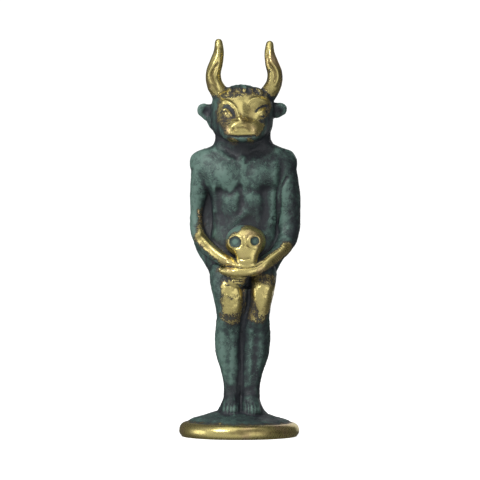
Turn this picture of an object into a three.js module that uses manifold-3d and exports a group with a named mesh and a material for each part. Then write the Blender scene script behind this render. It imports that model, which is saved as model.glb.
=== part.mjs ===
// A small cast-brass minotaur: a bull-headed man stands upright on a round base and holds a skull before
// him in his cupped hands. Figure and base are one casting. Millimetres, +Z up, the face towards -Y, and
// the origin under the centre of the base.
import * as THREE from "three";
import { mergeVertices } from "three/addons/utils/BufferGeometryUtils.js";
import Module from "manifold-3d";

// Driving dimensions
const BASE_DIAMETER = 36.3;
const BASE_RIM_HEIGHT = 4.2; // underside to the top of the rounded rim
const BASE_RIM_ROUNDING = 2.2; // radius over the rim
const BASE_FOOT_ROUNDING = 1.5; // radius under the rim
const BASE_FACETS = 40;
const MOUND_RISE = 2.8; // the top of the base swells this far from the rim to the soles
const FIGURE_HEIGHT = 113; // soles to the tip of the taller horn
const FIGURE_OFFSET = 1.15; // the figure stands this far to the right of the base's centre

// The figure's own sizes are in 113ths of its height, so that one unit is a millimetre as cast.
const UNIT = FIGURE_HEIGHT / 113;
const SOLE_HEIGHT = BASE_RIM_HEIGHT + MOUND_RISE;
const FORWARD = new THREE.Vector3(0, -1, 0);
const WELD = 1e-4; // corners closer than this are one corner
const SMALLEST_STEP = 0.08; // corners that change the form by less than this are left out

const wasm = await Module();
wasm.setup();

// A three.js geometry as a solid that can be joined and cut. Poles leave triangles with no area.
function solid(geometry) {
  const bare = geometry.clone();
  bare.deleteAttribute("normal");
  bare.deleteAttribute("uv");
  const welded = mergeVertices(bare, WELD);
  const corners = welded.index.array;
  const kept = [];
  for (let i = 0; i < corners.length; i += 3) {
    const [a, b, c] = corners.slice(i, i + 3);
    if (a !== b && b !== c && c !== a) kept.push(a, b, c);
  }
  return new wasm.Manifold(
    new wasm.Mesh({
      numProp: 3,
      vertProperties: welded.attributes.position.array,
      triVerts: new Uint32Array(kept),
    }),
  );
}

function join(...solids) {
  return solids.reduce((whole, piece) => whole.add(piece));
}

// Moves every corner of a geometry to where `place` sends it.
function wrap(geometry, place) {
  const position = geometry.getAttribute("position");
  const corner = new THREE.Vector3();
  for (let i = 0; i < position.count; i++) {
    const moved = place(corner.fromBufferAttribute(position, i));
    position.setXYZ(i, moved.x, moved.y, moved.z);
  }
  return geometry;
}

// Smooth curves through the columns of a table, each read by one parameter from 0 to 1.
function columns(rows) {
  const curves = rows[0].map((_, column) => {
    return new THREE.SplineCurve(rows.map((row, i) => new THREE.Vector2(i, row[column])));
  });
  return (t) => curves.map((curve) => curve.getPoint(t).y);
}

// A closed form through upright sections, from the lowest up. A section is [height, left, right, front,
// back], and its outline is a superellipse in that box. `relief` gives how far the front stands out, and
// `crowd` sets the corners closer together in front.
function loft(sections, { around = 32, along = 20, power = 2.4, relief = () => 0, crowd = 0 } = {}) {
  const read = columns(sections);
  return wrap(new THREE.CylinderGeometry(1, 1, 1, around, along), ({ x, y, z }) => {
    const [height, left, right, front, back] = read(y + 0.5);
    const reach = Math.hypot(x, z);
    const fromFront = Math.atan2(x, z);
    const turn = fromFront - crowd * Math.sin(fromFront) - Math.PI / 2;
    const bend = (value) => Math.sign(value) * Math.abs(value) ** (2 / power);
    const across = (left + right) / 2 + (reach * bend(Math.cos(turn)) * (right - left)) / 2;
    const through = (front + back) / 2 + (reach * bend(Math.sin(turn)) * (back - front)) / 2;
    const facing = reach * Math.max(0, -Math.sin(turn));
    return new THREE.Vector3(across, through - facing * relief(across, height), height);
  });
}

// A round-ended limb along a smooth path. A station is [x, y, z, radius]; `wide` and `deep` flatten it
// across its path and from front to back.
function limb(stations, { around = 14, along = 12, cap = 3, wide = 1, deep = 1 } = {}) {
  const path = new THREE.CatmullRomCurve3(stations.map(([x, y, z]) => new THREE.Vector3(x, y, z)));
  const read = columns(stations.map(([, , , radius]) => [radius]));
  return wrap(new THREE.CapsuleGeometry(1, 1, cap, around, along), ({ x, y, z }) => {
    const t = THREE.MathUtils.clamp(y + 0.5, 0, 1);
    const [radius] = read(t);
    const tangent = path.getTangent(t);
    const side = new THREE.Vector3().crossVectors(tangent, FORWARD).normalize();
    const ahead = new THREE.Vector3().crossVectors(side, tangent);
    return path
      .getPoint(t)
      .addScaledVector(side, x * radius * wide)
      .addScaledVector(ahead, z * radius * deep)
      .addScaledVector(tangent, (y + 0.5 - t) * radius);
  });
}

function ball([x, y, z], [wide, deep, high], around = 14, rows = 10) {
  return new THREE.SphereGeometry(1, around, rows)
    .rotateX(Math.PI / 2)
    .scale(wide, deep, high)
    .translate(x, y, z);
}

// The figure's frame: units become millimetres and the soles stand on the base.
function placed(geometry) {
  const frame = new THREE.Matrix4().makeScale(UNIT, UNIT, UNIT);
  return solid(geometry.applyMatrix4(frame.setPosition(FIGURE_OFFSET, 0, SOLE_HEIGHT)));
}

// A rounded swelling or, with a negative height, a hollow, seen from the front.
function swelling(x, z, [centreX, centreZ, halfWide, halfHigh, height]) {
  return height * Math.exp(-(((x - centreX) / halfWide) ** 2) - ((z - centreZ) / halfHigh) ** 2);
}

const CHEST_RELIEF = [
  [-5.6, 72.0, 4.2, 3.4, 1.7], // breast muscles
  [5.8, 71.8, 4.2, 3.6, 1.7],
  [-3.2, 63.6, 2.2, 4.0, 1.1], // columns of the belly
  [3.2, 63.2, 2.4, 4.2, 1.0],
  [0, 57.4, 6.0, 3.4, 0.8], // the belly above the skull
  [-7.0, 64.0, 1.8, 4.2, -1.3], // furrows beside the belly
  [7.0, 63.5, 1.8, 5.0, -1.3],
];

function torso() {
  const sections = [
    [33.5, -2.2, 1.6, -2.6, 3.2],
    [36.5, -5.6, 5.2, -4.8, 6.6],
    [39.5, -8.6, 8.2, -6.6, 8.2],
    [42.5, -10.3, 10.1, -7.4, 8.8],
    [46.5, -11.2, 11.2, -7.8, 8.4],
    [51, -10.5, 11.0, -7.6, 6.8],
    [56, -9.3, 10.4, -7.4, 5.6],
    [61.5, -9.1, 10.5, -7.4, 5.8],
    [66, -10.0, 11.3, -7.6, 6.5],
    [69.5, -13.2, 13.6, -7.8, 7.0],
    [73, -15.6, 16.0, -7.6, 7.3],
    [76, -16.1, 16.4, -7.0, 7.0],
    [78.2, -15.2, 15.5, -6.2, 6.2],
    [79.4, -12.9, 14.0, -5.8, 5.8],
    [80.4, -9.9, 10.9, -6.2, 6.7],
    [82.2, -8.5, 8.6, -7.2, 7.2],
    [86.5, -8.6, 8.3, -7.6, 7.7],
    [91, -8.2, 8.0, -5.0, 7.4],
  ];
  const relief = (x, z) => CHEST_RELIEF.reduce((sum, form) => sum + swelling(x, z, form), 0);
  const throat = [
    [0.0, -0.6, 85.0, 8.2],
    [-0.2, -1.6, 81.0, 7.3],
    [-0.4, -3.6, 77.8, 5.2],
    [-0.3, -6.0, 75.8, 2.6],
  ];
  return join(
    placed(loft(sections, { around: 30, along: 24, power: 2.4, relief, crowd: 0.35 })),
    placed(limb(throat, { around: 14, along: 5, cap: 2 })),
  );
}

// The metal left standing between the arms and the body, from the hips to the armpits.
function web() {
  const sections = [
    [42.5, -10.0, 10.0, -3.5, 4.5],
    [46.2, -12.4, 12.0, -3.5, 4.2],
    [49, -14.0, 13.8, -3.2, 4.0],
    [52, -15.0, 15.6, -2.2, 3.6],
    [56, -15.2, 16.0, 0.2, 3.2],
    [62, -14.4, 14.6, 0.9, 3.4],
    [69, -13.4, 13.5, 0.6, 4.0],
  ];
  return placed(loft(sections, { around: 12, along: 7, power: 2.6 }));
}

// The metal left standing between the legs, behind the groove.
function partition() {
  const sections = [
    [-2.5, -3.0, 2.0, -3.2, 4.0],
    [3, -2.4, 1.4, -2.6, 2.4],
    [12, -1.8, 0.8, -3.2, 2.0],
    [28, -1.4, 1.2, -5.4, 2.2],
    [38, -1.4, 1.4, -6.4, 4.0],
  ];
  return placed(loft(sections, { around: 8, along: 6, power: 2 }));
}

// side is -1 for the leg on the left of the front view and 1 for the one on the right.
function leg(side) {
  const kneeHeight = 29;
  const sway = (height) => -0.5 * (1 - THREE.MathUtils.clamp(height / kneeHeight, 0, 1));
  const sections = [
    // height, inner, outer, front, back
    [-2.8, 0.8, 8.6, -6.2, 6.0],
    [0.6, 0.8, 7.0, -5.4, 4.8],
    [4, 0.4, 5.6, -4.6, 3.8],
    [8.5, -0.2, 5.5, -4.4, 3.5],
    [13, -0.3, 6.5, -4.9, 4.6],
    [17.5, -0.3, 7.9, -5.4, 6.0],
    [22, -0.3, 8.4, -5.9, 6.4],
    [26, -0.2, 8.2, -7.2, 5.0],
    [29.3, 0.0, 8.0, -8.4, 4.2],
    [32.5, 0.1, 8.4, -9.2, 5.0],
    [36.5, 0.2, 9.3, -9.8, 6.2],
    [41, 0.0, 10.0, -9.4, 7.2],
    [45, -0.2, 9.8, -7.6, 7.6],
  ].map(([z, inner, outer, front, back]) => {
    const edges = [side * inner + sway(z), side * outer + sway(z)].sort((a, b) => a - b);
    return [z, ...edges, front, back];
  });
  return placed(loft(sections, { around: 14, along: 17, power: 2.05 }));
}

function foot(side) {
  const sway = -0.5;
  const instep = [
    [side * 3.1 + sway, 0.2, 3.0, 2.8],
    [side * 3.5 + sway, -3.0, 1.6, 2.7],
    [side * 4.0 + sway, -6.2, 0.4, 2.2],
  ];
  const toes = [0, 1, 2, 3, 4].map((k) => {
    const x = side * (2.2 + 1.05 * k) + sway;
    const tip = -9.0 + 0.32 * k;
    const stations = [
      [x, tip + 2.6, 1.0, 0.85],
      [x, tip, 0.4, 0.75 - 0.04 * k],
    ];
    return placed(limb(stations, { around: 6, along: 1, cap: 1 }));
  });
  return join(placed(limb(instep, { around: 10, along: 4, cap: 2 })), ...toes);
}

// Upper arm and forearm in one bend, from the shoulder to the wrist.
const ARMS = {
  [-1]: [
    [-11.8, -0.6, 74.0, 4.2],
    [-13.2, -0.4, 67.5, 3.0],
    [-14.0, 0.0, 61.0, 2.1],
    [-13.9, -0.9, 55.5, 2.2],
    [-12.6, -3.2, 52.4, 2.4],
    [-10.0, -6.4, 49.8, 2.4],
    [-7.0, -9.2, 47.5, 2.1],
    [-3.8, -11.2, 45.8, 1.9],
  ],
  1: [
    [11.8, -0.6, 74.0, 4.5],
    [12.8, -0.4, 67.0, 4.7],
    [13.4, 0.0, 60.0, 4.3],
    [13.1, -1.4, 53.6, 3.8],
    [10.9, -5.8, 49.4, 3.0],
    [7.6, -9.2, 46.8, 2.4],
    [4.2, -11.2, 45.4, 2.0],
  ],
};

function arm(side) {
  return placed(limb(ARMS[side], { around: 12, along: 13, cap: 2, wide: 0.92, deep: 1.1 }));
}

// The hands overlap under the skull like the two halves of a bowl, and the fingers show below.
function hands() {
  const inner = [
    [-4.8, -11.2, 46.0, 1.9],
    [-1.8, -12.9, 44.4, 1.7],
    [1.8, -13.5, 44.0, 1.4],
    [5.0, -12.6, 45.2, 0.9],
  ];
  const outer = [
    [5.8, -11.4, 45.2, 2.1],
    [2.6, -13.2, 43.3, 1.7],
    [-1.6, -13.6, 42.5, 1.4],
    [-6.4, -11.6, 42.8, 0.8],
  ];
  const fingers = [-1, 1].flatMap((side) => {
    return [0, 1].map((k) => {
      const stations = [
        [side * (4.2 - 0.6 * k), -11.6, 42.2 - 1.05 * k, 0.8],
        [side * (0.7 + 0.2 * k), -12.6, 41.6 - 1.05 * k, 0.75],
      ];
      return placed(limb(stations, { around: 6, along: 1, cap: 1 }));
    });
  });
  const palms = [inner, outer].map((path) => placed(limb(path, { around: 10, along: 6, cap: 2, deep: 0.85 })));
  return join(...palms, ...fingers);
}

// The head is lofted forwards, from the nape to the nose: [forward, left, right, lower, upper].
function head() {
  const sections = [
    [-8.0, -4.6, 4.6, 84.5, 92.5],
    [-6.6, -7.4, 7.2, 83.0, 96.2],
    [-3.0, -9.3, 8.9, 82.0, 98.2],
    [1.0, -9.8, 9.2, 81.2, 98.6],
    [4.6, -9.0, 8.8, 81.4, 97.2],
    [7.4, -7.3, 7.4, 81.8, 94.8],
    [9.6, -5.9, 5.6, 81.6, 92.2],
    [11.6, -5.0, 4.5, 81.4, 89.6],
    [13.2, -4.8, 4.1, 81.8, 88.2],
    [14.3, -3.6, 2.9, 83.2, 86.9],
  ];
  const form = loft(sections, { around: 22, along: 14, power: 2.8 }).rotateX(Math.PI / 2);
  const brows = [-1, 1].map((side) => {
    const stations = [
      [side * 8.2 + 0.3, -5.2, 90.6, 0.8],
      [side * 6.6 + 0.5, -7.2, 93.4, 1.1],
      [side * 3.4, -9.0, 92.0, 0.9],
    ];
    return placed(limb(stations, { around: 6, along: 4, cap: 1 }));
  });
  return join(carveFace(placed(form)), ...brows);
}

// Eyes, nostrils and the line of the mouth.
function carveFace(form) {
  const cuts = [
    ball([-3.0, -14.0, 85.9], [0.7, 1.2, 0.8], 6, 4),
    ball([1.4, -14.0, 86.1], [0.8, 1.2, 0.7], 6, 4),
    ball([-0.5, -12.6, 83.4], [4.5, 3.6, 0.35], 12, 4),
    ball([-5.7, -8.6, 90.1], [2.2, 1.6, 1.4], 8, 6),
    ball([6.3, -8.6, 90.5], [2.2, 1.6, 1.4], 8, 6),
  ];
  const eyes = [
    ball([-5.5, -7.5, 90.1], [1.5, 1.2, 0.9], 8, 6),
    ball([6.1, -7.5, 90.5], [1.5, 1.2, 0.9], 8, 6),
  ];
  const carved = cuts.reduce((whole, cut) => whole.subtract(placed(cut)), form);
  return join(carved, ...eyes.map(placed));
}

const EARS = {
  [-1]: [
    [-8.4, 0.6, 90.0, 3.0],
    [-10.4, 0.5, 90.6, 2.9],
    [-11.8, 0.3, 91.4, 2.3],
  ],
  1: [
    [8.4, 0.6, 91.3, 2.4],
    [10.0, 0.5, 91.5, 2.4],
    [11.1, 0.3, 91.7, 2.1],
  ],
};

function ear(side) {
  return placed(limb(EARS[side], { around: 10, along: 3, cap: 2, deep: 0.55 }));
}

// The left cheek spreads into the neck below the ear.
function cheek() {
  return placed(ball([-7.6, 0.4, 88.5], [3.3, 3.4, 3.4], 10, 6));
}

function horn(side) {
  const lean = side > 0 ? 0.7 : 0; // the right horn stands a little further out and lower
  const drop = side > 0 ? 0.6 : 0;
  const [rootHeight, tipHeight] = [96.2, 111.9];
  const stations = [
    [6.8, -0.2, rootHeight, 2.7],
    [8.6, -1.2, 99.4, 2.45],
    [8.9, -2.0, 102.6, 2.3],
    [8.0, -2.3, 105.8, 2.05],
    [7.3, -2.0, 109.0, 1.6],
    [7.3, -1.4, tipHeight, 1.1],
  ].map(([x, y, z, radius]) => {
    const share = (z - rootHeight) / (tipHeight - rootHeight);
    return [side * x + lean, y, z - drop * share, radius];
  });
  return placed(limb(stations, { around: 10, along: 11, cap: 2 }));
}

// Locks of hair across the brow, between the horns.
function fringe() {
  const count = 7;
  const locks = Array.from({ length: count }, (_, k) => {
    const x = -6.4 + (13.8 * k) / (count - 1);
    const slant = k % 2 ? 0.7 : 1.5;
    const stations = [
      [x - slant, -1.8, 98.0, 1.15],
      [x, -4.6, 97.0, 1.25],
      [x + slant, -6.2, 95.0, 0.8],
    ];
    return placed(limb(stations, { around: 6, along: 2, cap: 1 }));
  });
  return join(...locks);
}

function skull() {
  const centre = [1.0, -9.2, 51.6];
  const [x, y, z] = centre;
  const cranium = placed(ball(centre, [5.7, 5.2, 5.0], 18, 11));
  const face = [
    [z - 7.4, x - 2.6, x + 2.8, y - 4.6, y + 1],
    [z - 6.2, x - 3.0, x + 3.2, y - 5.1, y + 1],
    [z - 4.2, x - 3.3, x + 3.5, y - 5.3, y + 1],
    [z - 2.4, x - 4.2, x + 4.4, y - 5.2, y + 1],
    [z - 0.6, x - 4.4, x + 4.6, y - 4.6, y + 1],
  ];
  const sockets = [
    [-3.45, 0.2, 1.6],
    [2.6, 0.4, 1.4],
  ].map(([aside, up, radius]) => placed(ball([x + aside, y - 4.6, z + up], [radius, 1.9, radius], 10, 6)));
  const whole = join(cranium, placed(loft(face, { around: 14, along: 5, power: 2.8 })));
  return sockets.reduce((bone, socket) => bone.subtract(socket), whole);
}

// The base: flat below, a rounded upright rim, and a top that swells towards the feet.
function base() {
  const radius = BASE_DIAMETER / 2;
  const arc = (inset, height, round, from, steps = 3) => {
    return Array.from({ length: steps + 1 }, (_, i) => {
      const turn = from + (i / steps) * (Math.PI / 2);
      return new THREE.Vector2(radius - inset + round * Math.cos(turn), height + round * Math.sin(turn));
    });
  };
  const mound = [
    [0.78, 0.33],
    [0.66, 0.56],
    [0.55, 0.78],
    [0.4, 1.1],
    [0, 1.3],
  ].map(([reach, rise]) => new THREE.Vector2(radius * reach, BASE_RIM_HEIGHT + MOUND_RISE * rise));
  const profile = [
    new THREE.Vector2(0, 0),
    ...arc(BASE_FOOT_ROUNDING, BASE_FOOT_ROUNDING, BASE_FOOT_ROUNDING, -Math.PI / 2),
    ...arc(BASE_RIM_ROUNDING, BASE_RIM_HEIGHT - BASE_RIM_ROUNDING, BASE_RIM_ROUNDING, 0),
    ...mound,
  ];
  return solid(new THREE.LatheGeometry(profile, BASE_FACETS).rotateX(Math.PI / 2));
}

function minotaur() {
  const sides = [-1, 1];
  const body = join(torso(), web(), partition(), ...sides.flatMap((side) => [leg(side), foot(side), arm(side)]));
  const bull = join(head(), cheek(), fringe(), ...sides.flatMap((side) => [ear(side), horn(side)]));
  return join(base(), body, bull, skull(), hands()).simplify(SMALLEST_STEP);
}

function meshOf(form, name, material) {
  const { vertProperties, triVerts, numProp } = form.getMesh();
  const geometry = new THREE.BufferGeometry();
  const interleaved = new THREE.InterleavedBuffer(vertProperties, numProp);
  geometry.setAttribute("position", new THREE.InterleavedBufferAttribute(interleaved, 3, 0));
  geometry.setIndex(new THREE.BufferAttribute(triVerts, 1));
  const mesh = new THREE.Mesh(geometry, material);
  mesh.name = name;
  return mesh;
}

const patinatedBrass = new THREE.MeshStandardMaterial({ color: 0x3c564d, roughness: 0.5, metalness: 0.6 });

const statue = new THREE.Group();
statue.add(meshOf(minotaur(), "minotaur", patinatedBrass));

export default statue;
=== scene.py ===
"""A small cast-brass minotaur with a green patina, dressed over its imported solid.

The casting is modelled in the figure's own millimetres: x to the viewer's right and z up from the soles,
both measured from the figure's middle, and the face towards -y. Its forms are run together into one skin, the
relief is drawn on that skin as it is seen from the photograph's place, and the skin is then set into the
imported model's box, in metres.
"""

import logging
import math
from dataclasses import dataclass
from enum import Enum
from typing import Callable, Sequence, Union

import bmesh
import bpy
import numpy as np
from mathutils import Matrix, Vector


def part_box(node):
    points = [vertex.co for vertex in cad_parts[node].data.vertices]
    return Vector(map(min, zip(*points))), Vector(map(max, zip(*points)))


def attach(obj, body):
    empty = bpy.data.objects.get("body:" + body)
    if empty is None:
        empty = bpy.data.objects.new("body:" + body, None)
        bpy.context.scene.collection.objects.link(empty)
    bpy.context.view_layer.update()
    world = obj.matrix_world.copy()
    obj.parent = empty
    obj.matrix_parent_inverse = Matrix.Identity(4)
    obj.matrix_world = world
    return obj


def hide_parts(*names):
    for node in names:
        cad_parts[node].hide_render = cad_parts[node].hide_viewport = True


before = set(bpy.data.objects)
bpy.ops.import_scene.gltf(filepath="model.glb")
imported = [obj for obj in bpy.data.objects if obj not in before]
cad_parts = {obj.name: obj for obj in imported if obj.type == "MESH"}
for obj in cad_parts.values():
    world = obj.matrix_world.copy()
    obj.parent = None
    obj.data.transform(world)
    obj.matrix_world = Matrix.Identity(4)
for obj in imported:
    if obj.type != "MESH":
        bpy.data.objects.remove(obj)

LOG = logging.getLogger("minotaur")
NODE = "minotaur"
BODY = "root"

STATUE_HEIGHT = 120.0
SOLE_HEIGHT = 7.0
FIGURE_OFFSET = 1.15
BASE_RADIUS = 18.15
MILLIMETRES_IN_METRE = 1000.0
SKIN_STEP = 0.25
MOST_TRIANGLES = 195_000
SMOOTHING = 0.5
TRACE_STEP = 0.35
FEWEST_TRACED = 8
NO_LENGTH = 1e-9
NO_AREA = 1e-12

Point = tuple[float, ...]
Path = Sequence[Point]
Array = np.ndarray


class Side(Enum):
    """Which side of the statue a touch of the tool is made on."""

    FRONT = -1
    BACK = 1


def spline(rows: Sequence[Point], t: Array) -> Array:
    """Reads a smooth curve through the rows of a table.

    Args:
        rows: The table, one row for each station.
        t: Where to read, from 0 at the first row to 1 at the last.

    Returns:
        One row of values for each entry of t.
    """
    table = np.asarray(rows, float)
    last = len(table) - 1
    place = np.clip(t, 0.0, 1.0) * last
    index = np.minimum(place.astype(int), last - 1)
    part = (place - index)[:, None]
    before, start, end, after = (table[np.clip(index + k, 0, last)] for k in (-1, 0, 1, 2))
    leave, arrive = (end - before) / 2, (after - start) / 2
    cubic = 2 * start - 2 * end + leave + arrive
    square = -3 * start + 3 * end - 2 * leave - arrive
    return ((cubic * part + square) * part + leave) * part + start


def unit(vectors: Array) -> Array:
    """Returns the vectors at a length of 1."""
    return vectors / np.maximum(np.linalg.norm(vectors, axis=1, keepdims=True), NO_LENGTH)


def ease(values: Array, low: float, high: float) -> Array:
    """Returns a smooth step of the values, 0 at low and 1 at high."""
    part = np.clip((values - low) / (high - low), 0.0, 1.0)
    return part * part * (3 - 2 * part)


class Clay:
    """Closed forms that are laid into one another before they are run together.

    Attributes:
        cap: Rows of faces in each end of a loft.
        tip: Share of a limb's rows in each of its round ends.
        slight: Share of a limb's length over which its direction is read.
        weld: How close corners of a turned form are to count as one.
        limb_faces: Faces round a limb, and rows of them.
        ball_faces: Faces round a ball, and rows of them.
    """

    cap: float = 2.5
    tip: float = 0.16
    slight: float = 1e-3
    weld: float = 1e-4
    limb_faces: tuple[int, int] = (32, 56)
    ball_faces: tuple[int, int] = (32, 24)

    def __init__(self) -> None:
        """Starts with nothing."""
        self.shape = bmesh.new()

    def lay(self, form: bmesh.types.BMesh) -> None:
        """Lays one form in with the others."""
        held = bpy.data.meshes.new("form")
        form.to_mesh(held)
        form.free()
        self.shape.from_mesh(held)
        bpy.data.meshes.remove(held)

    def wrapped(self, around: int, rows: int, shaped: Callable[[Array, Array], Array]) -> None:
        """Lays in a sphere that is drawn over another form.

        Args:
            around: Faces round the sphere.
            rows: Rows of faces from pole to pole.
            shaped: Returns the place of each corner, from how far up it is, 0 to 1, and its turn.
        """
        form = bmesh.new()
        bmesh.ops.create_uvsphere(form, u_segments=around, v_segments=rows, radius=1.0)
        places = np.array([corner.co for corner in form.verts])
        up = 1 - np.arccos(np.clip(places[:, 2], -1, 1)) / math.pi
        for corner, place in zip(form.verts, shaped(up, np.arctan2(places[:, 1], places[:, 0]))):
            corner.co = place
        self.lay(form)

    def ball(self, centre: Point, radii: Point) -> None:
        """Lays in a ball or an ellipsoid.

        Args:
            centre: Its centre.
            radii: Its half-width, half-depth and half-height.
        """
        form = bmesh.new()
        around, rows = self.ball_faces
        place = Matrix.Translation(centre) @ Matrix.Diagonal((*radii, 1.0))
        bmesh.ops.create_uvsphere(form, u_segments=around, v_segments=rows, radius=1.0, matrix=place)
        self.lay(form)

    def loft(
        self,
        sections: Sequence[Point],
        around: int = 72,
        rows: int = 90,
        power: float = 2.4,
        forward: bool = False,
    ) -> None:
        """Lays in a closed form through upright or forward sections.

        Args:
            sections: Height, left, right, front and back of each, from the lowest up. Forward sections
                have how far forward they are, left, right, bottom and top.
            around: Faces round the form.
            rows: Rows of faces.
            power: 2 for an elliptical outline, and more for a squarer one.
            forward: Whether the sections are stacked forward.
        """
        end = self.cap / rows

        def squarer(value: Array) -> Array:
            """Returns a sine or a cosine, bent towards a squarer outline."""
            return np.sign(value) * np.abs(value) ** (2 / power)

        def shaped(up: Array, turn: Array) -> Array:
            """Returns the place of each corner."""
            level, left, right, near, far = spline(sections, (up - end) / (1 - 2 * end)).T
            reach = np.clip(np.minimum(up, 1 - up) / end, 0.0, 1.0)
            across = (left + right) / 2 + reach * squarer(np.cos(turn)) * (right - left) / 2
            through = (near + far) / 2 + reach * squarer(np.sin(turn)) * (far - near) / 2
            return np.stack([across, -level, through] if forward else [across, through, level], axis=1)

        self.wrapped(around, rows, shaped)

    def limb(self, stations: Sequence[Point], wide: float = 1.0, deep: float = 1.0) -> None:
        """Lays in a round-ended limb along a smooth path.

        Args:
            stations: x, y, z and radius of each.
            wide: Share of the radius across the limb.
            deep: Share of the radius from front to back.
        """
        end = self.tip

        def shaped(up: Array, turn: Array) -> Array:
            """Returns the place of each corner."""
            along = np.clip((up - end) / (1 - 2 * end), 0.0, 1.0)
            read = spline(stations, along)
            ahead = spline(stations, np.minimum(along + self.slight, 1))[:, :3]
            behind = spline(stations, np.maximum(along - self.slight, 0))[:, :3]
            tangent = unit(ahead - behind)
            side = unit(np.cross(tangent, np.broadcast_to((0.0, -1.0, 0.0), tangent.shape)))
            front = np.cross(side, tangent)
            lift = np.clip(np.minimum(up, 1 - up) / end, 0.0, 1.0) * math.pi / 2
            reach = (np.sin(lift) * read[:, 3])[:, None]
            push = (np.sign(up - 0.5) * np.cos(lift) * read[:, 3])[:, None]
            sideways = side * np.cos(turn)[:, None] * wide + front * np.sin(turn)[:, None] * deep
            return read[:, :3] + tangent * push + sideways * reach

        self.wrapped(*self.limb_faces, shaped)

    def turned(self, profile: Sequence[Point], centre: float, steps: int) -> bmesh.types.BMesh:
        """Makes a form turned on an upright axis.

        Args:
            profile: Radius and height of each point, from the axis and back to it.
            centre: Where the axis stands from left to right.
            steps: Faces round the form.

        Returns:
            The form, which isn't laid in yet.
        """
        form = bmesh.new()
        line = [form.verts.new((centre + radius, 0.0, height)) for radius, height in profile]
        edges = [form.edges.new(pair) for pair in zip(line, line[1:])]
        bmesh.ops.spin(
            form,
            geom=[*line, *edges],
            cent=(centre, 0.0, 0.0),
            axis=(0, 0, 1),
            angle=2 * math.pi,
            steps=steps,
            use_merge=True,
        )
        bmesh.ops.remove_doubles(form, verts=form.verts, dist=self.weld)
        bmesh.ops.recalc_face_normals(form, faces=form.faces)
        return form


@dataclass(frozen=True)
class Sight:
    """The photograph's place, in the casting's millimetres.

    Attributes:
        distance: How far it is in front of the middle of the base.
        height: How high it is over the surface that the statue stands on.
        aside: How far it is to the right of the middle of the base.
        lens: Focal length.
        film: Width of the film that it is for.
    """

    distance: float = 806.0
    height: float = 59.2
    aside: float = 0.24
    lens: float = 200.0
    film: float = 36.0

    def seen(self, points: Array) -> Array:
        """Returns where points show on the upright plane through the figure's middle, as x and z."""
        spread = self.distance / (self.distance + points[:, 1])
        middle = np.array([self.aside - FIGURE_OFFSET, self.height - SOLE_HEIGHT])
        return middle + (points[:, [0, 2]] - middle) * spread[:, None]


def traced(path: Path, closed: bool = False) -> Array:
    """Returns points set closely along a smooth path.

    Args:
        path: The points that the path goes through.
        closed: Whether it returns to its start.
    """
    points = [*path, path[0]] if closed else list(path)
    if len(points) < 3:
        return np.asarray(points, float)
    length = sum(math.dist(a, b) for a, b in zip(points, points[1:]))
    return spline(points, np.linspace(0, 1, max(FEWEST_TRACED, int(length / TRACE_STEP))))


def off_line(points: Array, line: Array) -> tuple[Array, Array]:
    """Measures points against a line.

    Args:
        points: The points.
        line: The line's own points, in order.

    Returns:
        The distance of each point from the line, and how far along it is nearest, from 0 to 1.
    """
    nearest = np.full(len(points), np.inf)
    along = np.zeros(len(points))
    count = len(line) - 1
    for index, (start, end) in enumerate(zip(line, line[1:])):
        step = end - start
        part = np.clip((points - start) @ step / max(step @ step, NO_AREA), 0, 1)
        distance = np.linalg.norm(points - start - part[:, None] * step, axis=1)
        closer = distance < nearest
        nearest = np.where(closer, distance, nearest)
        along = np.where(closer, (index + part) / count, along)
    return nearest, along


@dataclass(frozen=True)
class Stroke:
    """A ridge or a groove along a path.

    Attributes:
        path: Its points, as x and z.
        width: Half its width.
        height: How far it stands out, or sinks in where it is below 0.
        pointed: Whether it thins away towards its ends.
        reach: How many widths from its middle it is worked out to.
        thinnest: How thin a pointed end is, as the square of its share of the width.
    """

    path: Path
    width: float
    height: float
    pointed: bool = False
    reach: float = 2.4
    thinnest: float = 0.05

    def lift(self, seen: Array) -> Array:
        """Returns how far the skin is lifted at each point."""
        line = traced(self.path)
        lift = np.zeros(len(seen))
        reach = self.reach * self.width
        near = np.all((seen > line.min(0) - reach) & (seen < line.max(0) + reach), axis=1)
        if near.any():
            distance, along = off_line(seen[near], line)
            full = np.sqrt(np.clip(4 * along * (1 - along), self.thinnest, 1)) if self.pointed else 1.0
            lift[near] = self.height * full * np.exp(-((distance / (self.width * full)) ** 2))
        return lift


@dataclass(frozen=True)
class Mound:
    """A rounded swelling or hollow.

    Attributes:
        centre: Its middle, as x and z.
        radii: Half its width and half its height.
        height: How far it stands out, or sinks in where it is below 0.
        turn: How far it is turned, in degrees, anticlockwise as seen.
        steep: 1 for soft sides, and more for a flat top with steep sides.
    """

    centre: Point
    radii: Point
    height: float
    turn: float = 0.0
    steep: float = 1.0

    def lift(self, seen: Array) -> Array:
        """Returns how far the skin is lifted at each point."""
        angle = math.radians(self.turn)
        across, up = (seen - np.asarray(self.centre)).T
        along = (across * math.cos(angle) + up * math.sin(angle)) / self.radii[0]
        over = (up * math.cos(angle) - across * math.sin(angle)) / self.radii[1]
        return self.height * np.exp(-((along**2 + over**2) ** self.steep))


def mounds(*centres: Point, radii: Point, height: float, steep: float = 1.0) -> list[Mound]:
    """Returns swellings or hollows that are alike, one at each centre."""
    return [Mound(centre, radii, height, steep=steep) for centre in centres]


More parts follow.
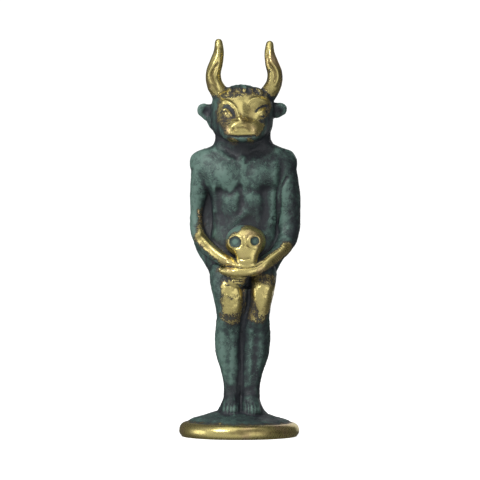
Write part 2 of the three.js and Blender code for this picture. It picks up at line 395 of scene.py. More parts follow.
@dataclass(frozen=True)
class Ring:
    """A round ridge or groove.

    Attributes:
        centre: Its middle, as x and z.
        radius: From its middle to its crest.
        width: Half the width of the ridge.
        height: How far it stands out, or sinks in where it is below 0.
        facing: The middle of the part that is made, in degrees anticlockwise from the right.
        span: How much of the turn is made, in degrees.
        fade: How far its ends fade out to each side, in degrees.
    """

    centre: Point
    radius: float
    width: float
    height: float
    facing: float = 0.0
    span: float = 360.0
    fade: float = 15.0

    def lift(self, seen: Array) -> Array:
        """Returns how far the skin is lifted at each point."""
        across, up = (seen - np.asarray(self.centre)).T
        lift = self.height * np.exp(-(((np.hypot(across, up) - self.radius) / self.width) ** 2))
        if self.span >= 360:
            return lift
        turn = np.degrees(np.arctan2(up, across)) - self.facing
        away = np.abs((turn + 180) % 360 - 180)
        return lift * (1 - ease(away, self.span / 2 - self.fade, self.span / 2 + self.fade))


Touch = Union[Stroke, Mound, Ring]


@dataclass(frozen=True)
class Space:
    """An upright box, in the casting's millimetres.

    Attributes:
        low: Its lowest corner.
        high: Its highest corner.
    """

    low: Point
    high: Point

    def depth(self, places: Array) -> Array:
        """Returns how far inside the box each place is, below 0 where it is outside."""
        return np.minimum(places - self.low, self.high - places).min(axis=1)


@dataclass(frozen=True)
class Zone:
    """A stretch of the figure's front, with soft borders.

    Attributes:
        front: How far forward it starts, and how far forward it is full.
        low: The height at which it starts, and the height at which it is full.
        high: The height up to which it is full, and the height at which it ends.
    """

    front: Point
    low: Point
    high: Point

    def share(self, places: Array) -> Array:
        """Returns how far each place belongs to it, from 0 to 1."""
        _, y, z = places.T
        return ease(-y, *self.front) * ease(z, *self.low) * (1 - ease(z, *self.high))


HANDS = Zone((8.0, 10.0), (38.0, 40.0), (56.0, 58.0))
HAIR = Zone((-1.0, 1.0), (93.0, 95.0), (99.0, 100.5))
FACE = Zone((4.0, 7.0), (82.0, 84.0), (95.0, 96.5))
HELD_SKULL = Zone((9.0, 11.0), (43.0, 45.0), (57.0, 58.0))


@dataclass(frozen=True)
class Relief:
    """The touches made on one part of the casting.

    Attributes:
        touches: The ridges, grooves, swellings and hollows.
        space: The space that they reach.
        side: Whether they are made from the front or from the back.
    """

    touches: Sequence[Touch]
    space: Space
    side: Side = Side.FRONT


@dataclass(frozen=True)
class Rub:
    """A stretch where the patina is rubbed away to the bare brass.

    Attributes:
        outline: The points round it, as x and z, or along its middle where it has a width.
        space: The space that it reaches.
        width: Half its width, or 0 where the outline goes round it.
        side: Whether it is seen from the front or from the back.
        kept: Whether the patina is kept here instead, inside a rubbed stretch.
        patchy: Whether brass and patina are mixed here.
    """

    outline: Path
    space: Space
    width: float = 0.0
    side: Side = Side.FRONT
    kept: bool = False
    patchy: bool = False

    def inside(self, seen: Array) -> Array:
        """Returns how far each point is inside the stretch, in millimetres."""
        line = traced(self.outline, closed=self.width == 0)
        distance, _ = off_line(seen, line)
        if self.width:
            return self.width - distance
        start, end = line[:-1], line[1:]
        rise = end[:, 1] - start[:, 1]
        level = (start[:, 1] > seen[:, 1:2]) != (end[:, 1] > seen[:, 1:2])
        slope = (end[:, 0] - start[:, 0]) / np.where(rise == 0, NO_LENGTH, rise)
        crossing = start[:, 0] + (seen[:, 1:2] - start[:, 1]) * slope
        within = np.sum(level & (seen[:, 0:1] < crossing), axis=1) % 2 == 1
        return np.where(within, distance, -distance)


def shaded(*rows: Point, steep: float = 1.5) -> list[Mound]:
    """Returns soft patches of painted shade, or of painted light where their height is below 0, with some
    patina tone among them.

    Args:
        rows: x, z, half the width, half the height and the depth of each, then its turn where it is turned.
        steep: How steeply they fade out, where 1 is softest.
    """
    return [Mound(row[:2], row[2:4], *row[4:], steep=steep) for row in rows]


class Part:
    """A part of the casting, which adds its form to the clay and is then worked on its surface."""

    def form(self, clay: Clay) -> None:
        """Adds the part to the clay."""

    def reliefs(self) -> list[Relief]:
        """Returns the touches made on it."""
        return []

    def shades(self) -> list[Mound]:
        """Returns its patches of painted shade and painted light, some of them patina tone."""
        return []

    def rubs(self) -> list[Rub]:
        """Returns its bare patches, and those that are kept."""
        return []


@dataclass(frozen=True)
class Base(Part):
    """The round base that the figure is cast with.

    Attributes:
        radius: Half its width.
        rim: Height of its rim.
        over: Radius over the rim.
        under: Radius under the rim.
        rise: From the rim to the soles.
        tilt: How much higher its top is on the left.
        dip: The most that it is lower on the right, as a share of that.
        level: How high over its underside it begins to tilt.
        steps: Faces in a quarter turn of the rim.
        around: Faces round it.
        rows: Rows of points over its top, from the last but one of the rim.
        shared: How many of those lie on the rim already.
    """

    radius: float = BASE_RADIUS
    rim: float = 4.2
    over: float = 2.2
    under: float = 1.5
    rise: float = SOLE_HEIGHT - 4.2
    tilt: float = 0.35
    dip: float = 0.6
    level: float = 2.0
    steps: int = 8
    around: int = 160
    rows: int = 48
    shared: int = 7

    def form(self, clay: Clay) -> None:
        """Adds the base to the clay."""
        low = -SOLE_HEIGHT

        def arc(round_radius: float, height: float, start: float) -> list[Point]:
            """Returns a quarter turn of the rim, from the angle start."""
            turns = [math.radians(start + 90 * k / self.steps) for k in range(self.steps + 1)]
            out, up = self.radius - round_radius, low + height
            return [(out + round_radius * math.cos(a), up + round_radius * math.sin(a)) for a in turns]

        swell = [(0.78, 0.33), (0.66, 0.56), (0.55, 0.78), (0.42, 1.06), (0.3, 1.25), (0.0, 1.3)]
        top = [(self.radius * reach, low + self.rim + self.rise * share) for reach, share in swell]
        joint = arc(self.over, self.rim - self.over, 0)
        crown = spline([joint[-2], joint[-1], *top], np.linspace(0, 1, self.rows))
        mound = [tuple(row) for row in crown[self.shared :]]
        profile = [(0.0, low), *arc(self.under, self.under, -90), *joint, *mound]
        form = clay.turned(profile, -FIGURE_OFFSET, self.around)
        for corner in form.verts:
            share = max(0.0, (corner.co.z - low - self.level) / self.rim)
            slope = max(-self.dip, -(corner.co.x + FIGURE_OFFSET) / self.radius)
            corner.co.z += self.tilt * min(share, 1.0) * slope
        clay.lay(form)

    def shades(self) -> list[Mound]:
        """Returns the painted shade on its top and rim, heaviest on the right and along the foot of the rim.
        """
        return shaded(
            (-9.0, -2.5, 4.5, 1.6, 0.15), (8.0, -2.2, 7.0, 2.2, 0.5), (12.0, -5.2, 7.0, 2.4, 0.2),
            (2.0, -6.0, 13.0, 1.1, 1.3),
        )


@dataclass(frozen=True)
class Legs(Part):
    """Both legs, the web between them, and the feet.

    Attributes:
        knee: Height of the knees.
        lean: How far the feet stand to the left of the hips.
        parting: How far right of the middle the thighs part.
        gap: How far each thigh is from that parting.
        fork: Height at which the thighs begin to part.
        forking: How much higher they are fully parted.
        toes: Toes on each foot.
        toe: From one toe to the next.
    """

    knee: float = 29.0
    lean: float = 0.5
    parting: float = 1.3
    gap: float = 0.4
    fork: float = 27.0
    forking: float = 6.0
    toes: int = 5
    toe: float = 1.05

    def form(self, clay: Clay) -> None:
        """Adds the legs and the feet to the clay."""
        leg = [
            (-2.8, 0.8, 8.0, -5.6, 6.0), (0.6, 0.8, 6.6, -5.0, 4.8), (4, 0.4, 5.6, -4.6, 3.8),
            (8.5, -0.2, 5.5, -4.4, 3.5), (13, -0.3, 6.5, -4.9, 4.6), (17.5, -0.3, 7.9, -5.4, 6.0),
            (22, -0.3, 8.4, -5.9, 6.4), (26, -0.2, 8.2, -7.2, 5.0), (29.3, 0.0, 8.0, -8.4, 4.2),
            (32.5, 0.1, 8.4, -9.2, 5.0), (36.5, 0.2, 9.3, -9.8, 6.2), (41, 0.0, 10.0, -9.4, 7.2),
            (45, -0.2, 9.8, -7.6, 7.6),
        ]
        for side in (-1, 1):
            rows = []
            for height, inner, outer, front, back in leg:
                sway = -self.lean * (1 - min(max(height / self.knee, 0), 1))
                part = (self.parting + self.gap * side) * min(max((height - self.fork) / self.forking, 0), 1)
                edges = sorted((side * inner + sway + part, side * outer + sway))
                rows.append((height, *edges, front, back))
            clay.loft(rows, around=64, rows=80, power=3.0)
            self.foot(clay, side)
        flare = [
            (-2.8, -14.5, 12.5, -10.5, 8.5), (-1.6, -11.5, 9.6, -9.0, 6.8),
            (-0.4, -9.0, 7.8, -7.6, 5.8), (1.2, -7.5, 6.3, -5.8, 4.8), (3.4, -6.3, 5.3, -3.8, 4.2),
            (5.0, -5.6, 4.8, -3.0, 3.6),
        ]
        clay.loft(flare, around=56, rows=40, power=2.0)
        web = [
            (-2.5, -3.4, 2.4, -3.2, 5.0), (3, -2.8, 1.8, -2.6, 3.2), (12, -2.4, 1.4, -3.2, 3.6),
            (20, -2.2, 1.8, -3.8, 4.9), (28, -1.8, 1.9, -6.6, 3.6), (38, -1.2, 3.0, -8.5, 5.6),
        ]
        clay.loft(web, around=24, rows=40, power=2.0)

    def foot(self, clay: Clay, side: int) -> None:
        """Adds a foot, on the left where side is -1 and on the right where it is 1."""
        sway = -self.lean
        instep = [
            (side * 2.7 + sway, -0.8, 6.4, 2.5),
            (side * 2.8 + sway, -3.2, 3.4, 2.7),
            (side * 2.95 + sway, -5.2, 0.8, 2.85),
        ]
        clay.limb(instep)

    def reliefs(self) -> list[Relief]:
        """Returns the touches on the thighs, the knees and the calves."""
        front = [
            Stroke(((1.4, 40), (1.3, 33), (0.2, 28), (-0.8, 22), (-1.2, 12), (-1.8, 1.0)), 0.7, -0.4),
            *mounds((-3.4, 34.6), (6.6, 34.6), radii=(3.4, 5.6), height=0.5, steep=2.5),
            *mounds((-4.3, 27.0), (4.0, 27.0), radii=(2.0, 1.9), height=0.45),
            *mounds((-6.0, 20.0), (5.4, 20.0), radii=(1.4, 5.0), height=0.35),
            Stroke(((-3.6, 24.5), (-3.4, 17), (-3.6, 9)), 0.9, 0.3),
            Stroke(((2.6, 24.5), (2.2, 17), (2.0, 9)), 0.9, 0.3),
        ]
        back = [
            *mounds((-4.8, 20), (4.0, 20), radii=(2.4, 5.5), height=0.6),
            Stroke(((-6.6, 29.2), (-2.0, 29.0)), 1.2, -0.25, pointed=True),
            Stroke(((2.0, 29.0), (6.0, 29.2)), 1.2, -0.25, pointed=True),
        ]
        feet = []
        for side in (-1, 1):
            for k in range(self.toes - 1):
                across = side * (1.6 + self.toe * k + 0.12 * math.sin(3.0 * k + side)) - self.lean
                depth = 0.22 + 0.06 * math.sin(5.0 * k + 2.0 * side)
                gap = ((across - 0.4 * side, 3.8 - 0.4 * k), (across, 1.6), (across, -0.8))
                feet.append(Stroke(gap, 0.3, -depth))
        feet.append(Stroke(((-0.8, 6.0), (-0.9, 2.4), (-1.0, -0.4)), 0.6, -0.4, pointed=True))
        return [
            Relief(front, Space((-12, -12, 3), (12, 1, 41))),
            Relief(feet, Space((-9, -12, -1.6), (9, -1, 6.4))),
            Relief(back, Space((-12, 0, 2), (12, 12, 40)), Side.BACK),
        ]

    def shades(self) -> list[Mound]:
        """Returns the painted shade and light of the legs: shade between the thighs, below the knees, at the
        ankles and on the right, paler on the left shin, with some patina tone.
        """
        return shaded(
            (-0.8, 16.0, 2.0, 18.0, 0.75), (1.6, 34.0, 2.0, 7.5, 1.1), (3.0, 31.0, 2.0, 3.5, 0.9),
            (-3.4, 28.4, 3.6, 2.0, 0.7), (6.0, 40.4, 4.0, 1.8, 0.8), (-6.2, 18.0, 2.4, 12.0, -0.2),
            (3.6, 18.0, 2.6, 12.0, 0.15), (7.6, 24.0, 2.0, 16.0, 0.6), (-5.0, 25.4, 3.0, 1.5, 0.35),
            (4.4, 25.8, 3.0, 1.6, 0.35), (-4.0, 6.0, 3.6, 6.0, 0.95), (3.6, 6.0, 3.6, 6.0, 0.85),
            (4.4, 17.0, 2.6, 8.0, 0.3),
        )

    def rubs(self) -> list[Rub]:
        """Returns the bare patches on the thighs."""
        space = Space((-11, -13, 24), (11, -2.6, 42))
        left = (
            (-6.0, 39.6), (-5.0, 40.0), (-3.4, 39.4), (-1.6, 38.2), (0.0, 37.4), (0.0, 35.2),
            (-0.4, 33.4), (-0.6, 31.4), (-2.0, 30.2), (-4.8, 30.2), (-5.8, 31.8), (-6.3, 35.0),
        )
        right = (
            (2.6, 39.0), (3.2, 40.8), (5.0, 40.6), (9.0, 39.8), (9.9, 37.2), (9.4, 35.2), (8.2, 32.0),
            (6.6, 29.9), (5.2, 30.2), (4.0, 33.0), (2.9, 35.4),
        )
        return [
            Rub(left, space),
            Rub(right, space),
            Rub(((-5.2, 29.6), (-3.4, 28.4), (-1.4, 29.2)), space, 1.3, patchy=True),
            Rub(((1.9, 32.0), (2.8, 29.6), (5.4, 28.8)), space, 1.2, patchy=True),
            Rub(((6.2, 40.2), (8.4, 39.4)), space, 1.5, kept=True, patchy=True),
            Rub(((1.5, 40.6), (1.5, 35.0), (0.6, 29.0)), space, 0.9, kept=True),
            Rub(((-5.8, 30.6), (-6.2, 34.0), (-6.0, 38.4)), space, 0.3, kept=True, patchy=True),
            Rub(((-5.3, 38.4), (-4.2, 38.2)), space, 0.3, kept=True),
            Rub(((-4.4, 35.0), (-3.6, 34.4), (-2.6, 35.2)), space, 0.25, kept=True),
            Rub(((6.4, 34.4), (7.4, 34.0)), space, 0.2, kept=True),
        ]


@dataclass(frozen=True)
class Torso(Part):
    """The body from the hips to the neck, and the web behind the arms."""

    def form(self, clay: Clay) -> None:
        """Adds the body to the clay."""
        body = [
            (33.5, -2.2, 1.6, -2.6, 3.2), (36.5, -5.6, 5.2, -4.8, 6.6), (39.5, -8.6, 8.2, -6.6, 8.2),
            (42.5, -10.3, 10.1, -7.4, 8.8), (46.5, -11.2, 11.2, -7.8, 8.4),
            (51, -10.5, 11.0, -7.6, 6.8), (56, -9.3, 10.4, -7.4, 5.6), (61.5, -9.1, 10.5, -7.4, 5.8),
            (66, -10.0, 11.3, -7.6, 6.5), (69.5, -13.0, 13.6, -7.8, 7.0), (73, -15.6, 16.0, -7.6, 7.3),
            (76, -16.1, 16.4, -7.0, 7.0), (78.2, -15.2, 15.5, -6.2, 6.2),
            (79.4, -12.9, 14.0, -5.8, 5.8), (80.4, -9.9, 10.9, -6.2, 6.7), (82.2, -8.5, 8.6, -7.2, 7.2),
            (86.5, -8.6, 8.3, -7.6, 7.7), (91, -8.2, 8.0, -5.0, 7.4),
        ]
        clay.loft(body, around=96, rows=120)
        throat = [
            (0.0, -0.6, 85.0, 8.2), (-0.2, -1.6, 81.0, 7.3), (-0.4, -3.4, 77.8, 5.0),
            (-0.3, -5.2, 76.0, 2.4),
        ]
        clay.limb(throat)
        web = [
            (42.5, -10.0, 10.0, -3.5, 4.5), (46.2, -12.4, 12.0, -3.5, 4.2),
            (49, -14.0, 13.8, -3.2, 4.0), (52, -15.0, 15.6, -3.4, 3.6), (56, -15.2, 16.0, -1.6, 3.2),
            (62, -14.4, 14.6, -1.0, 3.4), (69, -13.4, 13.5, -2.4, 4.0),
        ]
        clay.loft(web, around=40, rows=50, power=2.6)

    def reliefs(self) -> list[Relief]:
        """Returns the touches on the chest, the belly and the back."""
        front = [
            *mounds((-5.4, 71.8), (5.6, 71.6), radii=(4.4, 3.9), height=1.1, steep=1.2),
            Stroke(((-7.0, 66.8), (-3.6, 66.2), (-1.2, 68.2)), 1.1, -0.45),
            Stroke(((2.0, 67.4), (5.6, 66.6), (9.0, 68.2)), 1.3, -0.45),
            Stroke(((0.3, 75.0), (0.1, 68.4)), 0.7, 0.12),
            Stroke(((-8.4, 79.4), (-5.0, 77.2), (-0.8, 75.4), (0.0, 74.9)), 0.8, 0.3),
            Stroke(((0.4, 74.9), (3.0, 75.9), (7.0, 77.4), (10.2, 79.0)), 0.8, 0.22),
            Mound((-3.2, 64.0), (1.9, 3.7), 0.8, steep=1.2),
            Stroke(((-0.7, 68.0), (-0.5, 64.2), (-1.2, 60.6)), 0.9, -0.4),
            Stroke(((-7.2, 67.2), (-7.1, 64.0), (-6.8, 60.0)), 0.9, -0.45),
            Stroke(((-8.7, 68.2), (-8.5, 61.0)), 0.6, 0.35),
            Mound((3.0, 65.2), (2.2, 3.6), 0.5, steep=1.2),
            Stroke(((6.3, 67.4), (6.8, 62.0), (6.2, 56.5)), 1.7, -0.55),
            Stroke(((0.9, 60.6), (-1.6, 58.4), (-4.2, 56.4)), 1.2, 0.35),
            Mound((-6.4, 58.0), (2.4, 2.6), -0.6),
            Mound((2.4, 58.0), (3.0, 2.0), -0.4),
            Stroke(((9.6, 75.0), (9.2, 67.0), (8.8, 58.0)), 1.1, 0.5),
            Stroke(((13.2, 71.0), (11.6, 67.4), (11.1, 61.0), (10.4, 57.6)), 0.5, -0.45),
            Ring((9.4, 58.8), 0.6, 0.25, -0.2),
        ]
        back = [
            Stroke(((0.0, 82), (0.2, 70), (0.0, 56), (0.0, 47)), 1.9, -0.5, pointed=True),
            Mound((-6.8, 71.5), (3.6, 4.2), 0.9, turn=15),
            Mound((7.0, 71.5), (3.6, 4.2), 0.9, turn=-15),
            *mounds((-5.2, 43.5), (5.0, 43.5), radii=(4.2, 4.6), height=0.9),
            Stroke(((-0.1, 49), (-0.1, 42), (-0.2, 36)), 1.1, -0.8, pointed=True),
            Stroke(((-8.0, 57), (-3.0, 55.4), (3.0, 55.4), (8.0, 57)), 1.6, -0.3, pointed=True),
        ]
        return [
            Relief(front, Space((-16, -11, 50), (16, 2, 81))),
            Relief(back, Space((-16, 0, 34), (16, 12, 84)), Side.BACK),
        ]

    def shades(self) -> list[Mound]:
        """Returns the painted shade and light of the body: shade under the chin, beside the arms, under the
        chest and on the right, paler on the left, with some patina tone.
        """
        return shaded(
            (1.0, 79.5, 7.0, 3.6, 0.8), (-6.6, 80.6, 2.0, 3.0, -0.4), (6.6, 79.8, 3.0, 3.6, 0.5),
            (0.4, 71.4, 1.5, 4.2, -0.7), (1.0, 62.5, 2.2, 4.6, 0.4), (5.8, 62.0, 2.6, 6.5, 0.5),
            (8.0, 69.6, 3.4, 1.8, 0.4), (-7.8, 65.0, 1.5, 5.0, 0.55), (-10.8, 60.0, 2.2, 8.0, 0.5),
            (5.6, 71.0, 4.0, 4.0, 0.25), (2.8, 72.4, 2.0, 3.2, 0.35), (-3.4, 64.0, 2.6, 4.4, 0.45),
            (8.6, 60.0, 2.0, 5.0, -0.3), (-5.6, 58.0, 4.4, 3.2, 0.45), (-4.0, 53.0, 5.0, 3.0, 0.35),
            (3.6, 59.5, 5.0, 2.2, 0.35), (-6.0, 71.5, 3.8, 3.4, -0.25), (-13.0, 76.0, 3.6, 4.0, -0.35),
            (9.5, 74.0, 4.5, 3.0, 0.1), (13.6, 76.0, 3.4, 5.0, 0.45), (-9.0, 43.0, 2.0, 4.0, 0.35),
            (7.4, 44.5, 3.2, 4.0, 0.6),
        )


@dataclass(frozen=True)
class Arms(Part):
    """The arms, which bend at the elbow and meet under the skull."""

    def form(self, clay: Clay) -> None:
        """Adds the arms, the hands and the fingers to the clay."""
        left = [
            (-11.8, -0.6, 74.0, 4.2), (-13.2, -0.4, 67.5, 3.0), (-14.0, 0.0, 61.0, 2.1),
            (-13.9, -0.9, 55.5, 2.2), (-12.6, -3.2, 52.2, 2.3), (-10.0, -6.4, 49.4, 2.2),
            (-6.8, -9.2, 46.9, 2.0), (-3.6, -11.2, 45.4, 1.8),
        ]
        right = [
            (11.8, -0.6, 74.0, 4.5), (12.8, -0.4, 67.0, 4.7), (13.4, 0.0, 60.0, 4.3),
            (13.2, -1.4, 53.6, 3.7), (11.2, -5.8, 49.0, 2.6), (7.8, -9.2, 46.2, 2.2),
            (4.2, -11.2, 44.4, 1.9),
        ]
        for stations in (left, right):
            clay.limb(stations, wide=0.94, deep=1.15)
        inner = [
            (-4.8, -11.0, 45.8, 1.7), (-1.8, -12.7, 44.4, 1.2), (1.8, -13.0, 44.1, 1.0),
            (5.2, -12.2, 45.2, 0.8),
        ]
        outer = [
            (7.4, -10.6, 45.6, 1.9), (4.4, -12.4, 43.6, 1.7), (1.0, -13.3, 42.7, 1.6),
            (-2.4, -13.1, 42.7, 1.5), (-5.2, -11.9, 42.9, 1.1), (-7.3, -10.8, 43.0, 0.35),
        ]
        for stations in (inner, outer):
            clay.limb(stations, deep=0.85)
        clay.ball((-1.6, -9.2, 40.8), (3.4, 1.4, 2.8))

    def reliefs(self) -> list[Relief]:
        """Returns the touches on the forearms and the hands."""
        under_bowl = ((-6.2, 44.4), (-4.0, 44.2), (-1.6, 43.9), (1.2, 43.7), (4.2, 44.3), (5.6, 45.2))
        touches = [
            Stroke(((-4.6, 45.4), (-2.1, 44.5), (1.2, 44.1), (3.9, 44.6), (5.8, 45.6)), 0.32, 0.3),
            Stroke(under_bowl, 0.22, -0.35),
            Stroke(((-12.6, 53.0), (-9.0, 49.6), (-5.0, 46.7)), 0.7, 0.35),
            Stroke(((12.8, 49.8), (9.8, 47.6), (6.6, 45.2)), 0.7, 0.3),
            Stroke(((-3.6, 40.9), (0.3, 40.8)), 0.3, 0.35, pointed=True),
            Stroke(((-3.2, 40.1), (-0.1, 40.0)), 0.28, 0.3, pointed=True),
            Stroke(((-2.8, 39.3), (-0.4, 39.2)), 0.26, 0.3, pointed=True),
        ]
        return [Relief(touches, Space((-16, -16, 38), (16, -3, 56)))]

    def shades(self) -> list[Mound]:
        """Returns the painted shade and light of the arms, the hands and the skull: shade on the right arm
        and under the hands, paler on the left arm, in the skull's eye holes and on its crown, with some
        patina tone.
        """
        return shaded(
            (16.0, 62.0, 2.4, 14.0, 0.85), (12.6, 62.0, 2.0, 9.0, -0.1), (14.5, 52.0, 4.0, 3.5, 0.5),
            (-15.4, 62.0, 1.6, 12.0, -0.4), (-13.0, 50.0, 3.0, 2.5, 0.3), (0.0, 40.0, 6.0, 1.8, 1.0),
            (-4.0, 45.6, 1.6, 1.0, 0.8, -40), (-5.6, 48.4, 2.6, 2.0, 0.6, -40),
            (-2.4, 51.6, 1.9, 1.9, -0.8), (3.6, 51.9, 1.6, 1.6, -1.0), (-2.8, 55.2, 2.2, 1.4, -0.8, 40),
        )

    def rubs(self) -> list[Rub]:
        """Returns the bare brass along the forearms and over the hands."""
        left = ((-12.9, 53.2), (-11.0, 51.2), (-8.2, 48.6), (-5.4, 46.4), (-2.6, 44.9))
        right = ((13.3, 49.9), (10.4, 47.5), (7.0, 45.0), (4.0, 43.4))
        space = Space((-16, -16, 38), (16, -2.5, 56))
        elbow = Space((-16, -6, 52), (-9, 2, 64))
        flecks = ((-12.6, 59.6, 0.05), (-13.1, 56.4, 0.1), (-13.4, 55.2, 0.15))
        bowl = (
            (-7.4, 43.1), (-5.8, 44.4), (-2.1, 43.8), (1.2, 43.4), (4.5, 44.2), (6.6, 44.6),
            (5.6, 42.6), (2.7, 41.2), (-1.2, 41.0), (-4.5, 41.5),
        )
        rim = ((-4.4, 45.2), (-1.4, 44.2), (2.0, 43.9), (5.4, 45.0))
        return [
            Rub(left, space, 1.35),
            Rub(right, space, 1.25),
            Rub(bowl, space),
            Rub(rim, space, 0.8),
            Rub(((-4.0, 40.6), (-1.0, 40.0), (1.4, 39.2)), space, 1.0, kept=True),
            Rub(((1.6, 40.6), (2.2, 38.0)), space, 1.1, kept=True),
            Rub(((-3.4, 40.9), (0.2, 40.8)), space, 0.15),
            Rub(((-3.0, 40.1), (0.0, 40.0)), space, 0.12),
            Rub(((-2.6, 39.3), (-0.3, 39.2)), space, 0.1),
            Rub(((4.4, 40.8), (8.6, 40.2)), space, 0.8, patchy=True),
            Rub(((-12.4, 60.6), (-12.5, 57.6), (-12.9, 54.8)), elbow, 0.7, patchy=True),
            *(Rub(((x, z), (x + 0.2, z - 0.3)), elbow, size) for x, z, size in flecks),
        ]


@dataclass(frozen=True)
class Skull(Part):
    """The skull that the figure holds before it.

    Attributes:
        centre: The middle of its cranium.
        radii: Half-width, half-depth and half-height of the cranium.
    """

    centre: Point = (0.75, -9.2, 51.8)
    radii: Point = (6.1, 5.2, 4.9)

    def form(self, clay: Clay) -> None:
        """Adds the skull to the clay."""
        x, y, z = self.centre
        clay.ball(self.centre, self.radii)
        face = [
            (z - 7.6, x - 2.3, x + 3.2, y - 4.8, y + 1),
            (z - 6.2, x - 2.7, x + 3.6, y - 5.3, y + 1),
            (z - 4.2, x - 3.0, x + 3.9, y - 5.5, y + 1),
            (z - 2.4, x - 4.1, x + 4.8, y - 5.4, y + 1),
            (z - 0.6, x - 4.6, x + 5.2, y - 4.8, y + 1),
        ]
        clay.loft(face, around=40, rows=36, power=2.8)

    def reliefs(self) -> list[Relief]:
        """Returns the eye holes, the nose and the mouth of the skull."""
        touches = [
            Mound((-2.35, 51.6), (1.75, 1.75), -0.45, steep=6.0),
            Mound((3.6, 51.9), (1.3, 1.4), -0.45, steep=6.0),
            Ring((-2.35, 51.6), 2.15, 0.28, 0.22),
            Ring((3.6, 51.9), 1.6, 0.25, 0.18),
            Ring((3.2, 51.9), 2.75, 0.26, 0.14, facing=180, span=200),
            Ring((3.2, 51.9), 2.25, 0.22, -0.2, facing=180, span=200),
            Stroke(((-1.3, 46.5), (0.2, 46.3), (1.9, 46.6)), 0.24, -0.35),
            *mounds((-3.9, 48.0), (5.9, 48.2), radii=(1.0, 1.6), height=-0.5),
            Stroke(((-1.0, 50.0), (-1.6, 49.5)), 0.25, -0.25),
        ]
        return [Relief(touches, Space((-6, -16, 44.5), (8, -9.6, 57.5)))]

    def rubs(self) -> list[Rub]:
        """Returns the bare brass of the skull, less its crown on the left."""
        outline = (
            (-4.7, 51.4), (-4.1, 52.7), (-2.8, 53.6), (-0.9, 54.4), (-0.1, 55.3), (1.7, 57.0),
            (3.6, 57.0), (6.2, 54.6), (6.9, 51.5), (5.8, 49.0), (4.3, 47.2), (3.9, 43.8), (-1.9, 43.8),
            (-1.9, 46.4), (-3.0, 48.0), (-4.6, 49.6),
        )
        space = Space((-6, -16, 43), (8, -8.2, 58))
        left = ((-2.36, 51.55), (-2.34, 51.65))
        right = ((3.59, 51.85), (3.61, 51.95))
        return [
            Rub(outline, space),
            Rub(left, space, 1.75, kept=True),
            Rub(right, space, 1.3, kept=True),
        ]


